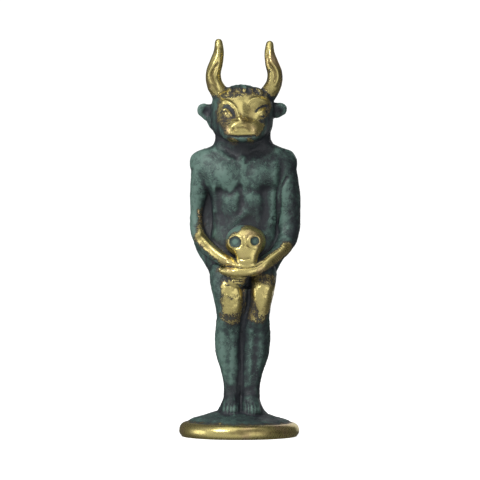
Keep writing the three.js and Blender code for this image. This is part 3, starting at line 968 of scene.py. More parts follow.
@dataclass(frozen=True)
class BullHead(Part):
    """The bull's head, with its ears, horns and fringe.

    Attributes:
        locks: Locks of hair across the brow.
        parting: Where the first lock is, from left to right.
        fringe: From the first lock to the last.
        drop: How much lower the tip of the right horn is.
        lean: How much further out the right horn stands.
    """

    locks: int = 11
    parting: float = -6.2
    fringe: float = 13.2
    drop: float = 0.6
    lean: float = 0.7

    def form(self, clay: Clay) -> None:
        """Adds the head to the clay."""
        sections = [
            (-8.0, -4.6, 4.6, 84.5, 92.5), (-6.6, -7.4, 7.2, 83.0, 96.2), (-3.0, -9.3, 8.9, 82.0, 98.2),
            (1.0, -9.8, 9.2, 81.2, 98.6), (4.6, -9.0, 8.8, 81.4, 97.2), (7.4, -7.7, 7.7, 81.6, 94.8),
            (9.6, -7.0, 6.8, 81.4, 92.0), (11.6, -5.8, 5.5, 81.2, 89.2), (13.2, -4.8, 4.4, 81.6, 87.8),
            (14.2, -3.5, 3.1, 82.6, 86.8),
        ]
        clay.loft(sections, around=72, rows=90, power=2.7, forward=True)
        clay.ball((-7.6, 0.4, 88.5), (3.3, 3.4, 3.4))
        for side in (-1, 1):
            self.ear(clay, side)
            self.horn(clay, side)
        for k in range(self.locks):
            across = self.parting + self.fringe * k / (self.locks - 1)
            sway = 0.8 * math.sin(2.4 * k + 0.6)
            short = 0.5 * math.sin(4.1 * k)
            top = 98.4 - 0.05 * (across - 0.5) ** 2
            lock = [
                (across - 1.1, -0.8, top, 0.9),
                (across + 0.6 * sway, -3.8, top - 0.8 + 0.4 * short, 0.8 + 0.2 * short),
                (across + 1.5 * sway, -5.2, top - 2.0 + short, 0.45),
            ]
            clay.limb(lock)

    def ear(self, clay: Clay, side: int) -> None:
        """Adds an ear, on the left where side is -1 and on the right where it is 1."""
        left = [(-8.4, 0.6, 90.2, 2.7), (-10.3, 0.5, 90.8, 2.7), (-11.9, 0.3, 91.5, 2.1)]
        right = [(8.4, 0.6, 91.3, 2.4), (10.0, 0.5, 91.5, 2.4), (11.1, 0.3, 91.7, 2.1)]
        clay.limb(left if side < 0 else right, deep=0.55)

    def horn(self, clay: Clay, side: int) -> None:
        """Adds a horn, on the left where side is -1 and on the right where it is 1."""
        lean = self.lean if side > 0 else 0.0
        drop = self.drop if side > 0 else 0.0
        root, tip = 96.2, 111.8
        stations = [
            (6.8, -0.2, root, 2.7),
            (8.6, -1.2, 99.4, 2.45), (8.9, -2.0, 102.6, 2.3), (8.0, -2.3, 105.8, 2.05),
            (7.3, -2.0, 109.0, 1.6),
            (7.35, -1.4, tip, 1.2),
        ]
        rise = tip - root
        placed = [(side * x + lean, y, z - drop * (z - root) / rise, radius) for x, y, z, radius in stations]
        clay.limb(placed)

    def reliefs(self) -> list[Relief]:
        """Returns the touches that make the eyes, the nose and the mouth."""
        face = [
            Stroke(((-0.6, 93.6), (-0.4, 91.4), (-0.3, 89.2)), 1.3, 0.35),
            Stroke(((1.5, 92.0), (1.3, 90.4), (1.3, 88.0)), 1.5, -0.15),
            Mound((-4.5, 91.7), (2.2, 1.3), -0.35, turn=-32),
            Stroke(((-5.8, 94.2), (-3.9, 93.6), (-2.4, 92.1), (-1.6, 90.0), (-1.0, 88.7)), 0.6, 0.6),
            Mound((-5.0, 90.1), (1.3, 1.1), 0.7, steep=1.4),
            Stroke(((-5.9, 91.6), (-5.2, 91.7), (-4.5, 91.1), (-3.6, 89.9)), 0.32, 0.5),
            *mounds((-5.2, 90.5), (-4.5, 89.6), radii=(0.35, 0.35), height=0.35),
            Stroke(((-6.6, 89.5), (-5.2, 88.9), (-3.9, 89.0)), 0.3, -0.14, pointed=True),
            Stroke(((-6.2, 88.4), (-5.2, 88.0), (-4.2, 88.2)), 0.25, -0.12, pointed=True),
            Stroke(((-5.4, 87.2), (-4.6, 87.0), (-3.8, 87.6)), 0.22, -0.1, pointed=True),
            Mound((2.9, 91.0), (1.9, 2.8), -0.4),
            Stroke(((1.6, 93.6), (2.6, 94.6), (4.3, 95.0), (6.3, 94.5), (7.6, 93.4)), 0.6, 0.5, pointed=True),
            Mound((5.6, 92.4), (2.3, 1.1), -0.6, turn=12),
            Mound((6.0, 91.1), (1.3, 1.0), 0.55, steep=1.4),
            Stroke(((3.9, 91.0), (5.0, 92.3), (6.5, 92.9), (7.6, 92.5)), 0.26, -0.3, pointed=True),
            Mound((7.1, 91.1), (0.5, 0.5), -0.5),
            Stroke(((4.9, 89.9), (5.8, 89.5), (6.7, 89.5)), 0.3, -0.2, pointed=True),
            Mound((5.3, 88.0), (1.0, 0.8), -0.3),
            Mound((-1.5, 87.4), (2.6, 1.2), 0.35),
            Stroke(((-2.2, 88.5), (-1.2, 88.3), (-0.8, 88.7), (-0.2, 89.0)), 0.2, -0.3),
            Stroke(((-1.9, 89.1), (-1.1, 89.3)), 0.2, -0.2),
            Mound((-0.3, 85.4), (4.8, 1.8), 0.3),
            Ring((-3.0, 85.7), 0.8, 0.25, 0.18),
            Mound((-2.9, 85.6), (0.45, 0.6), -0.35, steep=1.6),
            Stroke(((-2.0, 86.2), (-0.8, 86.1), (0.5, 86.3)), 0.22, -0.25),
            Stroke(((0.5, 87.1), (1.4, 86.2), (2.5, 85.4)), 0.5, -0.28, pointed=True),
            Stroke(((-4.2, 83.8), (-2.4, 83.5), (1.2, 83.6), (4.0, 83.7)), 0.28, -0.6, pointed=True),
            Stroke(((-4.2, 84.5), (-2.0, 84.2), (1.2, 84.2), (4.0, 84.5)), 0.35, 0.25),
            Mound((-0.6, 82.6), (2.2, 0.8), 0.3),
            Mound((5.2, 86.4), (1.6, 1.8), 0.25),
        ]
        ears = [
            Mound((-11.2, 91.0), (1.5, 1.5), -0.8, turn=-25),
            Mound((11.2, 91.0), (1.5, 1.5), -0.8, turn=25),
            Stroke(((-9.4, 87.8), (-8.6, 89.8)), 0.4, -0.4),
            Stroke(((-8.4, 86.6), (-7.8, 89.0)), 0.4, -0.4),
        ]
        furrow_left = ((-7.3, 106.1), (-8.8, 103.9), (-9.5, 102.0), (-9.2, 100.6), (-8.0, 99.0))
        furrow_right = ((7.6, 107.4), (8.0, 105.4), (9.3, 103.6), (9.7, 102.0), (9.2, 100.0))
        horns = [
            Stroke(furrow_left, 0.45, -0.5, pointed=True),
            Stroke(((-7.6, 110.0), (-7.9, 107.4), (-9.2, 104.9), (-10.3, 102.0), (-9.9, 99.4)), 0.4, 0.3),
            Stroke(((-6.9, 109.4), (-7.2, 106.8), (-7.6, 104.0), (-8.2, 101.6)), 0.45, 0.25),
            Stroke(furrow_right, 0.45, -0.5, pointed=True),
            Stroke(((8.3, 110.0), (8.4, 106.6), (10.0, 104.0), (10.6, 101.4), (9.8, 99.0)), 0.4, 0.3),
            Mound((7.2, 108.0), (0.6, 1.4), -0.25),
        ]
        nape = [Stroke(((0.0, 95.5), (0.0, 84.0)), 1.2, 0.5)]
        return [
            Relief(face, Space((-9.6, -18, 81.2), (9.6, -2.5, 96.4))),
            Relief(ears, Space((-16, -4, 84), (16, 0.6, 96))),
            Relief(horns, Space((-14, -8, 97), (14, 0, 112))),
            Relief(nape, Space((-5, 0, 82), (5, 12, 97)), Side.BACK),
        ]

    def shades(self) -> list[Mound]:
        """Returns the painted shade and light of the head: shadow under the fringe, shade on the right, under
        the cheeks, beside the nose and along the horns' furrows, with some patina tone.
        """
        return shaded(
            (0.6, 97.0, 9.0, 1.9, 0.7), (8.0, 91.0, 1.8, 8.0, 0.8), (11.5, 92.0, 2.5, 3.0, 0.6),
            (-8.6, 88.0, 2.4, 5.0, 0.45), (-6.6, 84.6, 1.9, 3.8, 0.75), (6.8, 84.8, 1.7, 3.6, 0.65),
            (-11.0, 91.2, 2.2, 2.4, 0.5), (-0.5, 82.4, 9.0, 1.6, 0.5), (-0.4, 82.9, 2.6, 0.8, -0.9),
            (2.3, 89.6, 1.2, 3.0, 0.7), (0.5, 87.4, 2.4, 1.2, 1.3), (1.6, 86.2, 1.8, 1.1, 1.0, -40),
            (-5.2, 90.4, 2.2, 2.2, 0.8), (-5.0, 87.8, 2.0, 1.6, 0.35), (6.6, 91.4, 2.0, 1.4, 0.6),
            (5.6, 88.2, 1.2, 1.2, 0.5), (-7.8, 109.4, 0.9, 2.0, 1.0), (-8.0, 104.8, 0.6, 1.9, 1.7, -28),
            (-9.2, 101.4, 0.6, 2.0, 1.7), (-8.4, 98.8, 0.6, 1.5, 1.7, 30), (-6.5, 107.0, 0.5, 4.0, 1.0),
            (7.3, 108.4, 0.6, 1.6, 0.8), (8.8, 104.4, 0.6, 2.0, 1.7, 28), (9.7, 101.4, 0.6, 2.0, 1.7),
            (7.4, 101.8, 1.0, 3.6, 0.9), (11.6, 101.4, 1.0, 3.6, 0.9),
        )

    def rubs(self) -> list[Rub]:
        """Returns the bare brass of the face and the horns."""
        face = (
            (-6.6, 94.9), (-4.6, 95.2), (-2.4, 94.9), (0.6, 95.5), (4.2, 96.0), (7.2, 95.0),
            (8.2, 92.8), (7.2, 90.4), (5.4, 88.6), (6.2, 86.8), (4.8, 84.9), (3.8, 84.2), (-4.0, 84.2),
            (-5.2, 86.0), (-6.4, 88.4), (-7.0, 91.4),
        )
        space = Space((-10, -18, 80), (10, -3, 99.5))
        far = Space((-16, -9, 95.0), (16, 5, 114))
        left = ((-8.0, 98.6), (-8.9, 100.0), (-9.4, 102.6), (-8.2, 106.0), (-7.3, 112.5))
        right = ((8.9, 98.8), (9.5, 100.0), (9.8, 102.4), (8.7, 106.0), (8.0, 112.5))
        socket = (
            (-7.4, 91.4), (-6.2, 92.8), (-4.6, 92.9), (-3.0, 91.6), (-2.5, 90.0), (-3.2, 88.6),
            (-3.6, 87.4), (-5.2, 86.6), (-7.2, 88.0),
        )
        under = ((-6.4, 88.6), (-5.2, 87.7), (-4.2, 87.8))
        return [
            Rub(face, space),
            Rub(socket, space, kept=True),
            Rub(socket, space, patchy=True),
            Rub(under, space, 1.0, patchy=True),
            Rub(((-6.0, 89.0), (-4.6, 88.5)), space, 0.2),
            Rub(((-5.9, 90.0), (-4.2, 89.5)), space, 0.8, patchy=True),
            Rub(((-5.7, 91.8), (-4.9, 91.6), (-3.7, 90.1)), space, 0.14),
            Rub(((-5.4, 90.5), (-5.2, 90.4)), space, 0.22),
            Rub(((-4.6, 89.7), (-4.4, 89.5)), space, 0.22),
            Rub(((3.9, 91.0), (5.0, 92.3), (6.5, 92.9), (7.9, 92.5)), space, 0.5, kept=True, patchy=True),
            Rub(((7.4, 92.4), (7.6, 90.8), (6.4, 89.6)), space, 0.9, kept=True, patchy=True),
            Rub(((7.2, 91.2), (8.4, 90.6)), space, 0.3, kept=True),
            Rub(((5.0, 88.4), (6.4, 88.1)), space, 0.6, kept=True),
            Rub(((-4.8, 82.9), (0.0, 82.7), (4.6, 82.9)), space, 1.3, kept=True),
            Rub(((-3.8, 82.4), (-2.4, 81.9)), space, 0.35),
            Rub(((1.8, 82.6), (2.6, 82.2)), space, 0.2),
            Rub(((-5.8, 96.9), (-4.0, 97.5)), space, 0.16),
            Rub(((-2.2, 97.3), (-0.6, 96.4), (0.3, 95.4)), space, 0.22),
            Rub(((0.4, 97.3), (0.8, 96.4)), space, 0.1),
            Rub(((2.9, 97.0), (3.2, 96.2)), space, 0.05),
            Rub(((2.8, 96.8), (6.0, 97.2), (8.8, 96.2)), space, 0.8, patchy=True),
            Rub(((-6.6, 96.2), (-1.0, 96.9)), space, 0.7, patchy=True),
            Rub(((-7.2, 95.6), (-3.0, 95.8), (-0.6, 96.1)), space, 0.55, kept=True),
            *(Rub(path, far, 2.6, side) for side in (Side.FRONT, Side.BACK) for path in (left, right)),
            Rub(((7.8, 103.9), (8.0, 101.2), (7.2, 98.8)), far, 0.3, kept=True),
            Rub(((11.2, 104.0), (11.8, 101.6), (11.2, 98.6)), far, 0.5, kept=True),
        ]


@dataclass
class Skin:
    """The surface of the casting, as one mesh.

    Attributes:
        mesh: The mesh.
        creases: How far the surface lies in where a crease begins, and where it is a full one.
        crease_rounds: How much the surface is smoothed to find its creases.
        crease_spread: How many corners the creases are widened by.
        turned: How far a corner is turned to a side where its touches begin, and where they are full.
        margin: How far inside its space a relief is full.
        outward: How strongly a touch pushes straight forwards or back, beside the way the surface faces.
        bumps: How often chance is smoothed for each size of bump, and how high those bumps are.
    """

    mesh: bpy.types.Mesh
    creases: Point = (0.015, 0.10)
    crease_rounds: int = 6
    crease_spread: int = 2
    turned: Point = (0.05, 0.45)
    margin: float = 0.8
    outward: float = 0.8
    bumps: tuple[tuple[int, float], ...] = ((3, 0.016), (12, 0.030), (50, 0.045))

    def __post_init__(self) -> None:
        """Reads which corners are neighbours."""
        pairs = np.zeros(len(self.mesh.edges) * 2, np.int32)
        self.mesh.edges.foreach_get("vertices", pairs)
        first, second = pairs.reshape(-1, 2).T
        self.here = np.concatenate([first, second])
        self.there = np.concatenate([second, first])
        self.neighbours = np.maximum(np.bincount(self.here, minlength=len(self.mesh.vertices)), 1)

    @property
    def points(self) -> Array:
        """The places of the corners."""
        flat = np.zeros(len(self.mesh.vertices) * 3)
        self.mesh.vertices.foreach_get("co", flat)
        return flat.reshape(-1, 3)

    @points.setter
    def points(self, places: Array) -> None:
        """Moves the corners to these places."""
        self.mesh.vertices.foreach_set("co", places.ravel())
        self.mesh.update()

    @property
    def normals(self) -> Array:
        """The direction that each corner faces."""
        flat = np.zeros(len(self.mesh.vertices) * 3)
        self.mesh.vertex_normals.foreach_get("vector", flat)
        return flat.reshape(-1, 3)

    def around(self, values: Array) -> Array:
        """Returns the mean of each corner's neighbours.

        Args:
            values: One row for each corner.
        """
        size = len(self.neighbours)
        taken = values[self.there]
        if values.ndim == 1:
            return np.bincount(self.here, taken, size) / self.neighbours
        sums = [np.bincount(self.here, taken[:, k], size) for k in range(values.shape[1])]
        return np.stack(sums, axis=1) / self.neighbours[:, None]

    def relax(self, rounds: int, share: Union[float, Array] = SMOOTHING) -> None:
        """Smooths the surface.

        Args:
            rounds: How many times each corner moves towards its neighbours.
            share: How far it moves each time, for all corners or for each.
        """
        places = self.points
        weight = share[:, None] if isinstance(share, np.ndarray) else share
        for _ in range(rounds):
            places = places + weight * (self.around(places) - places)
        self.points = places

    def hollow(self, rounds: int) -> Array:
        """Returns how far the surface lies below its own smoothed form, in millimetres.

        Args:
            rounds: How much it is smoothed for this, which sets the size of the hollows that are found.
        """
        start = self.points
        places = start
        for _ in range(rounds):
            places = places + SMOOTHING * (self.around(places) - places)
        return np.sum((places - start) * self.normals, axis=1)

    def fill(self, rounds: int, where: Array) -> None:
        """Runs metal into the creases, as a soft casting has.

        Args:
            rounds: How far it runs.
            where: How much it runs at each corner, from 0 to 1.
        """
        crease = ease(self.hollow(self.crease_rounds), *self.creases)
        for _ in range(self.crease_spread):
            crease = np.maximum(crease, self.around(crease))
        self.relax(rounds, SMOOTHING * crease * where)

    def carve(self, relief: Relief, sight: Sight) -> None:
        """Makes a part's touches on the surface.

        Args:
            relief: The touches and where they reach.
            sight: The place that the front is seen from.
        """
        places = self.points
        facing = ease(relief.side.value * self.normals[:, 1], *self.turned)
        seen = sight.seen(places) if relief.side is Side.FRONT else places[:, [0, 2]]
        facing = facing * ease(relief.space.depth(places), 0.0, self.margin)
        chosen = np.nonzero(facing > 0)[0]
        lift = sum(touch.lift(seen[chosen]) for touch in relief.touches)
        way = self.normals[chosen]
        way[:, 1] += self.outward * relief.side.value
        places[chosen] += unit(way) * (lift * facing[chosen])[:, None]
        self.points = places

    def roughen(self, dice: np.random.Generator, where: Array) -> None:
        """Makes the surface as uneven as a sand casting.

        Args:
            dice: The source of chance.
            where: How uneven each corner is, from 0 to 1.
        """
        places = self.points
        height = np.zeros(len(places))
        for rounds, depth in self.bumps:
            bumps = dice.normal(size=len(places))
            for _ in range(rounds):
                bumps = self.around(bumps)
            height += depth * bumps / bumps.std()
        self.points = places + self.normals * (height * where)[:, None]

    def write(self, name: str, values: Array) -> None:
        """Keeps a number for each corner as an attribute of the mesh."""
        layer = self.mesh.attributes.new(name, "FLOAT", "POINT")
        layer.data.foreach_set("value", values.astype(np.float32))


@dataclass
class Casting:
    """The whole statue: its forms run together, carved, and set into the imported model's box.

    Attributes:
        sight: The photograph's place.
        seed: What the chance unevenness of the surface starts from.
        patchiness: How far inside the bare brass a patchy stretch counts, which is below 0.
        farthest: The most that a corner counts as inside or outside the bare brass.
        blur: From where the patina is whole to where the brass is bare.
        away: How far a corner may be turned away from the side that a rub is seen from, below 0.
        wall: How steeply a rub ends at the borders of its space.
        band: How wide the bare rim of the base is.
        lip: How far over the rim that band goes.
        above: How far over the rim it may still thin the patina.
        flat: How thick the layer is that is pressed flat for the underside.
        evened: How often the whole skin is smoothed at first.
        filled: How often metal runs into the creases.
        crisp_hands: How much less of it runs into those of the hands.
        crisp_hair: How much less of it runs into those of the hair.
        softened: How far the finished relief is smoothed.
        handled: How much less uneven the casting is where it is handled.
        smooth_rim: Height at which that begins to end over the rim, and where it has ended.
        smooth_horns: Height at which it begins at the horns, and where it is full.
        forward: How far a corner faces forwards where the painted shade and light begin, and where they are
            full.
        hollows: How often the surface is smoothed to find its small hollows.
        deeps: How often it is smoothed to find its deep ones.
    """

    sight: Sight
    seed: int = 7
    patchiness: float = -0.34
    farthest: float = 3.0
    blur: float = 4.0
    away: float = -0.25
    wall: float = 1.5
    band: float = 2.4
    lip: float = 0.1
    above: float = 1.5
    flat: float = 0.3
    evened: int = 3
    filled: int = 30
    crisp_hands: float = 0.85
    crisp_hair: float = 0.8
    softened: float = 0.35
    handled: float = 0.75
    smooth_rim: Point = (-3.0, -2.0)
    smooth_horns: Point = (98.0, 100.0)
    forward: Point = (-0.5, 0.3)
    hollows: int = 8
    deeps: int = 60

    def __post_init__(self) -> None:
        """Makes the parts of the casting."""
        self.base = Base()
        self.parts = (self.base, Legs(), Torso(), Arms(), Skull(), BullHead())

    def build(self) -> bpy.types.Object:
        """Models the statue.

        Returns:
            The finished piece, in metres.
        """
        clay = Clay()
        for part in self.parts:
            part.form(clay)
        rough = bpy.data.meshes.new("rough")
        clay.shape.to_mesh(rough)
        clay.shape.free()
        skin = Skin(self.remade(rough, "REMESH", {"mode": "VOXEL", "voxel_size": SKIN_STEP}))
        LOG.info("one skin of %d corners", len(skin.mesh.vertices))
        skin.relax(self.evened)
        skin.fill(self.filled, self.softness(skin.points))
        for part in self.parts:
            for relief in part.reliefs():
                skin.carve(relief, self.sight)
        skin.relax(1, self.softened)
        skin.roughen(np.random.default_rng(self.seed), self.coarseness(skin.points))
        self.level(skin)
        faces = sum(len(face.vertices) - 2 for face in skin.mesh.polygons)
        ratio = min(1.0, MOST_TRIANGLES / faces)
        skin = Skin(self.remade(skin.mesh, "DECIMATE", {"ratio": ratio, "use_collapse_triangulate": True}))
        skin.write("bare", self.bareness(skin))
        # painted shade and painted light, with some patina tone, kept as the shade attribute
        skin.write("shade", self.painted_shading(skin))
        skin.write("hollow", skin.hollow(self.hollows))
        skin.write("deep", skin.hollow(self.deeps))
        self.set_in_box(skin)
        skin.mesh.polygons.foreach_set("use_smooth", np.ones(len(skin.mesh.polygons), bool))
        piece = bpy.data.objects.new("minotaur_casting", skin.mesh)
        bpy.context.scene.collection.objects.link(piece)
        return piece

    def remade(self, mesh: bpy.types.Mesh, kind: str, settings: dict[str, object]) -> bpy.types.Mesh:
        """Returns a mesh put through one modifier.

        Args:
            mesh: The mesh.
            kind: The modifier's type.
            settings: What is set on it.
        """
        holder = bpy.data.objects.new("holder", mesh)
        bpy.context.scene.collection.objects.link(holder)
        modifier = holder.modifiers.new("change", kind)
        for name, value in settings.items():
            setattr(modifier, name, value)
        graph = bpy.context.evaluated_depsgraph_get()
        made = bpy.data.meshes.new_from_object(holder.evaluated_get(graph))
        bpy.data.objects.remove(holder)
        return made

    def softness(self, places: Array) -> Array:
        """Returns how far metal runs into the creases at each place, less at the hands and the hair."""
        hands, hair = HANDS.share(places), HAIR.share(places)
        return (1 - self.crisp_hands * hands) * (1 - self.crisp_hair * hair)

    def coarseness(self, places: Array) -> Array:
        """Returns how uneven the casting is at each place, less where it is handled and rubbed."""
        height = places[:, 2]
        rim = 1 - ease(height, *self.smooth_rim)
        horns = ease(height, *self.smooth_horns)
        worn = [FACE.share(places), HELD_SKULL.share(places), rim, horns]
        return 1 - self.handled * np.maximum.reduce(worn)

    def level(self, skin: Skin) -> None:
        """Makes the underside flat."""
        places = skin.points
        low = places[:, 2].min()
        under = places[:, 2] < low + self.flat
        places[under, 2] = low
        skin.points = places

    def bareness(self, skin: Skin) -> Array:
        """Returns how far inside the bare brass each corner is, from 0 to 1, with a half at its edge."""
        places = skin.points
        facing = -skin.normals[:, 1]
        seen = self.sight.seen(places)
        inside = np.full(len(places), -self.farthest)
        for rub in (rub for part in self.parts for rub in part.rubs()):
            depth = rub.space.depth(places)
            reach = (depth > 0) & (facing * -rub.side.value > self.away)
            flat = seen if rub.side is Side.FRONT else places[:, [0, 2]]
            found = np.minimum(rub.inside(flat[reach]), self.wall * depth[reach])
            if rub.kept:
                least = self.patchiness if rub.patchy else -self.farthest
                inside[reach] = np.minimum(inside[reach], np.maximum(-found, least))
            else:
                most = self.patchiness if rub.patchy else self.farthest
                inside[reach] = np.maximum(inside[reach], np.minimum(found, most))
        out = np.hypot(places[:, 0] + FIGURE_OFFSET, places[:, 1])
        height = places[:, 2] + SOLE_HEIGHT
        rim = np.minimum(out - (BASE_RADIUS - self.band), self.base.rim + self.lip - height)
        low = height < self.base.rim + self.above
        inside = np.maximum(inside, np.where(low, rim, -self.farthest))
        return np.clip(0.5 + inside / self.blur, 0.0, 1.0)

    def painted_shading(self, skin: Skin) -> Array:
        """Returns the painted shade at each corner, and painted light where it is below 0, with some patina
        tone; it is only painted where the surface faces forwards, and fades out towards the back.
        """
        seen = self.sight.seen(skin.points)
        front = ease(-skin.normals[:, 1], *self.forward)
        shades = (shade for part in self.parts for shade in part.shades())
        return front * sum(shade.lift(seen) for shade in shades)

    def set_in_box(self, skin: Skin) -> None:
        """Turns the figure's millimetres into metres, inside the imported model's box."""
        low, high = (np.array(corner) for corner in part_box(NODE))
        scale = (high[2] - low[2]) / STATUE_HEIGHT
        places = (skin.points + (FIGURE_OFFSET, 0.0, SOLE_HEIGHT)) * scale
        places[:, 2] = np.clip(places[:, 2], low[2], high[2])
        skin.points = places


class Number:
    """A socket that carries a number, so that maths on it reads as maths."""

    def __init__(self, nodes: "Nodes", socket: bpy.types.NodeSocket) -> None:
        """Wraps a socket of a node tree."""
        self.nodes = nodes
        self.socket = socket

    def maths(self, operation: str, *values: object) -> "Number":
        """Adds a Math node on this number and others."""
        return self.nodes.number("ShaderNodeMath", {"operation": operation}, dict(enumerate((self, *values))))

    def __add__(self, other: object) -> "Number":
        """Returns the sum."""
        return self.maths("ADD", other)

    __radd__ = __add__

    def __sub__(self, other: object) -> "Number":
        """Returns the difference."""
        return self.maths("SUBTRACT", other)

    def __rsub__(self, other: object) -> "Number":
        """Returns the difference from another number."""
        return self.nodes.number("ShaderNodeMath", {"operation": "SUBTRACT"}, {0: other, 1: self})

    def __mul__(self, other: object) -> "Number":
        """Returns the product."""
        return self.maths("MULTIPLY", other)

    __rmul__ = __mul__

    def step(self, low: float, high: float) -> "Number":
        """Returns a smooth step, 0 at low and 1 at high."""
        settings = {"interpolation_type": "SMOOTHSTEP"}
        sockets = {"Value": self, 1: low, 2: high, 3: 0.0, 4: 1.0}
        return self.nodes.number("ShaderNodeMapRange", settings, sockets)


class Nodes:
    """Adds nodes to a material or to the world."""

    def __init__(self, owner: Union[bpy.types.Material, bpy.types.World]) -> None:
        """Empties the node tree of a material or of the world."""
        owner.use_nodes = True
        self.tree = owner.node_tree
        self.tree.nodes.clear()

    def add(self, kind: str, settings: dict[str, object], sockets: dict[object, object]) -> bpy.types.Node:
        """Adds a node.

        Args:
            kind: The node's type.
            settings: Its settings, which are made first.
            sockets: Values or links of its input sockets, by name or by number.

        Returns:
            The node.
        """
        node = self.tree.nodes.new(kind)
        for name, value in settings.items():
            setattr(node, name, value)
        for name, value in sockets.items():
            socket = node.inputs[name]
            if isinstance(value, Number):
                self.tree.links.new(value.socket, socket)
            elif isinstance(value, bpy.types.NodeSocket):
                self.tree.links.new(value, socket)
            else:
                socket.default_value = value
        return node

    def number(self, kind: str, settings: dict[str, object], sockets: dict[object, object]) -> Number:
        """Adds a node and returns its first output as a number."""
        return Number(self, self.add(kind, settings, sockets).outputs[0])

    def noise(
        self, place: bpy.types.NodeSocket, size: float, detail: float = 3.0, rough: float = 0.55
    ) -> Number:
        """Returns a noise between about 0.2 and 0.8.

        Args:
            place: Where on the object it is read, in metres.
            size: The size of its patches, in millimetres.
            detail: How many finer patches are laid over them.
            rough: How strong the finer ones are.
        """
        scale = MILLIMETRES_IN_METRE / size
        sockets = {"Vector": place, "Scale": scale, "Detail": detail, "Roughness": rough}
        return self.number("ShaderNodeTexNoise", {"noise_dimensions": "3D"}, sockets)

    def mix(self, share: Number, first: object, second: object) -> bpy.types.NodeSocket:
        """Returns a colour between two colours."""
        node = self.add("ShaderNodeMix", {"data_type": "RGBA"}, {0: share, 6: first, 7: second})
        return node.outputs[2]

    def attribute(self, name: str) -> Number:
        """Returns a number that the mesh keeps for each corner."""
        node = self.add("ShaderNodeAttribute", {"attribute_name": name, "attribute_type": "GEOMETRY"}, {})
        return Number(self, node.outputs["Fac"])


Colour = tuple[float, float, float, float]


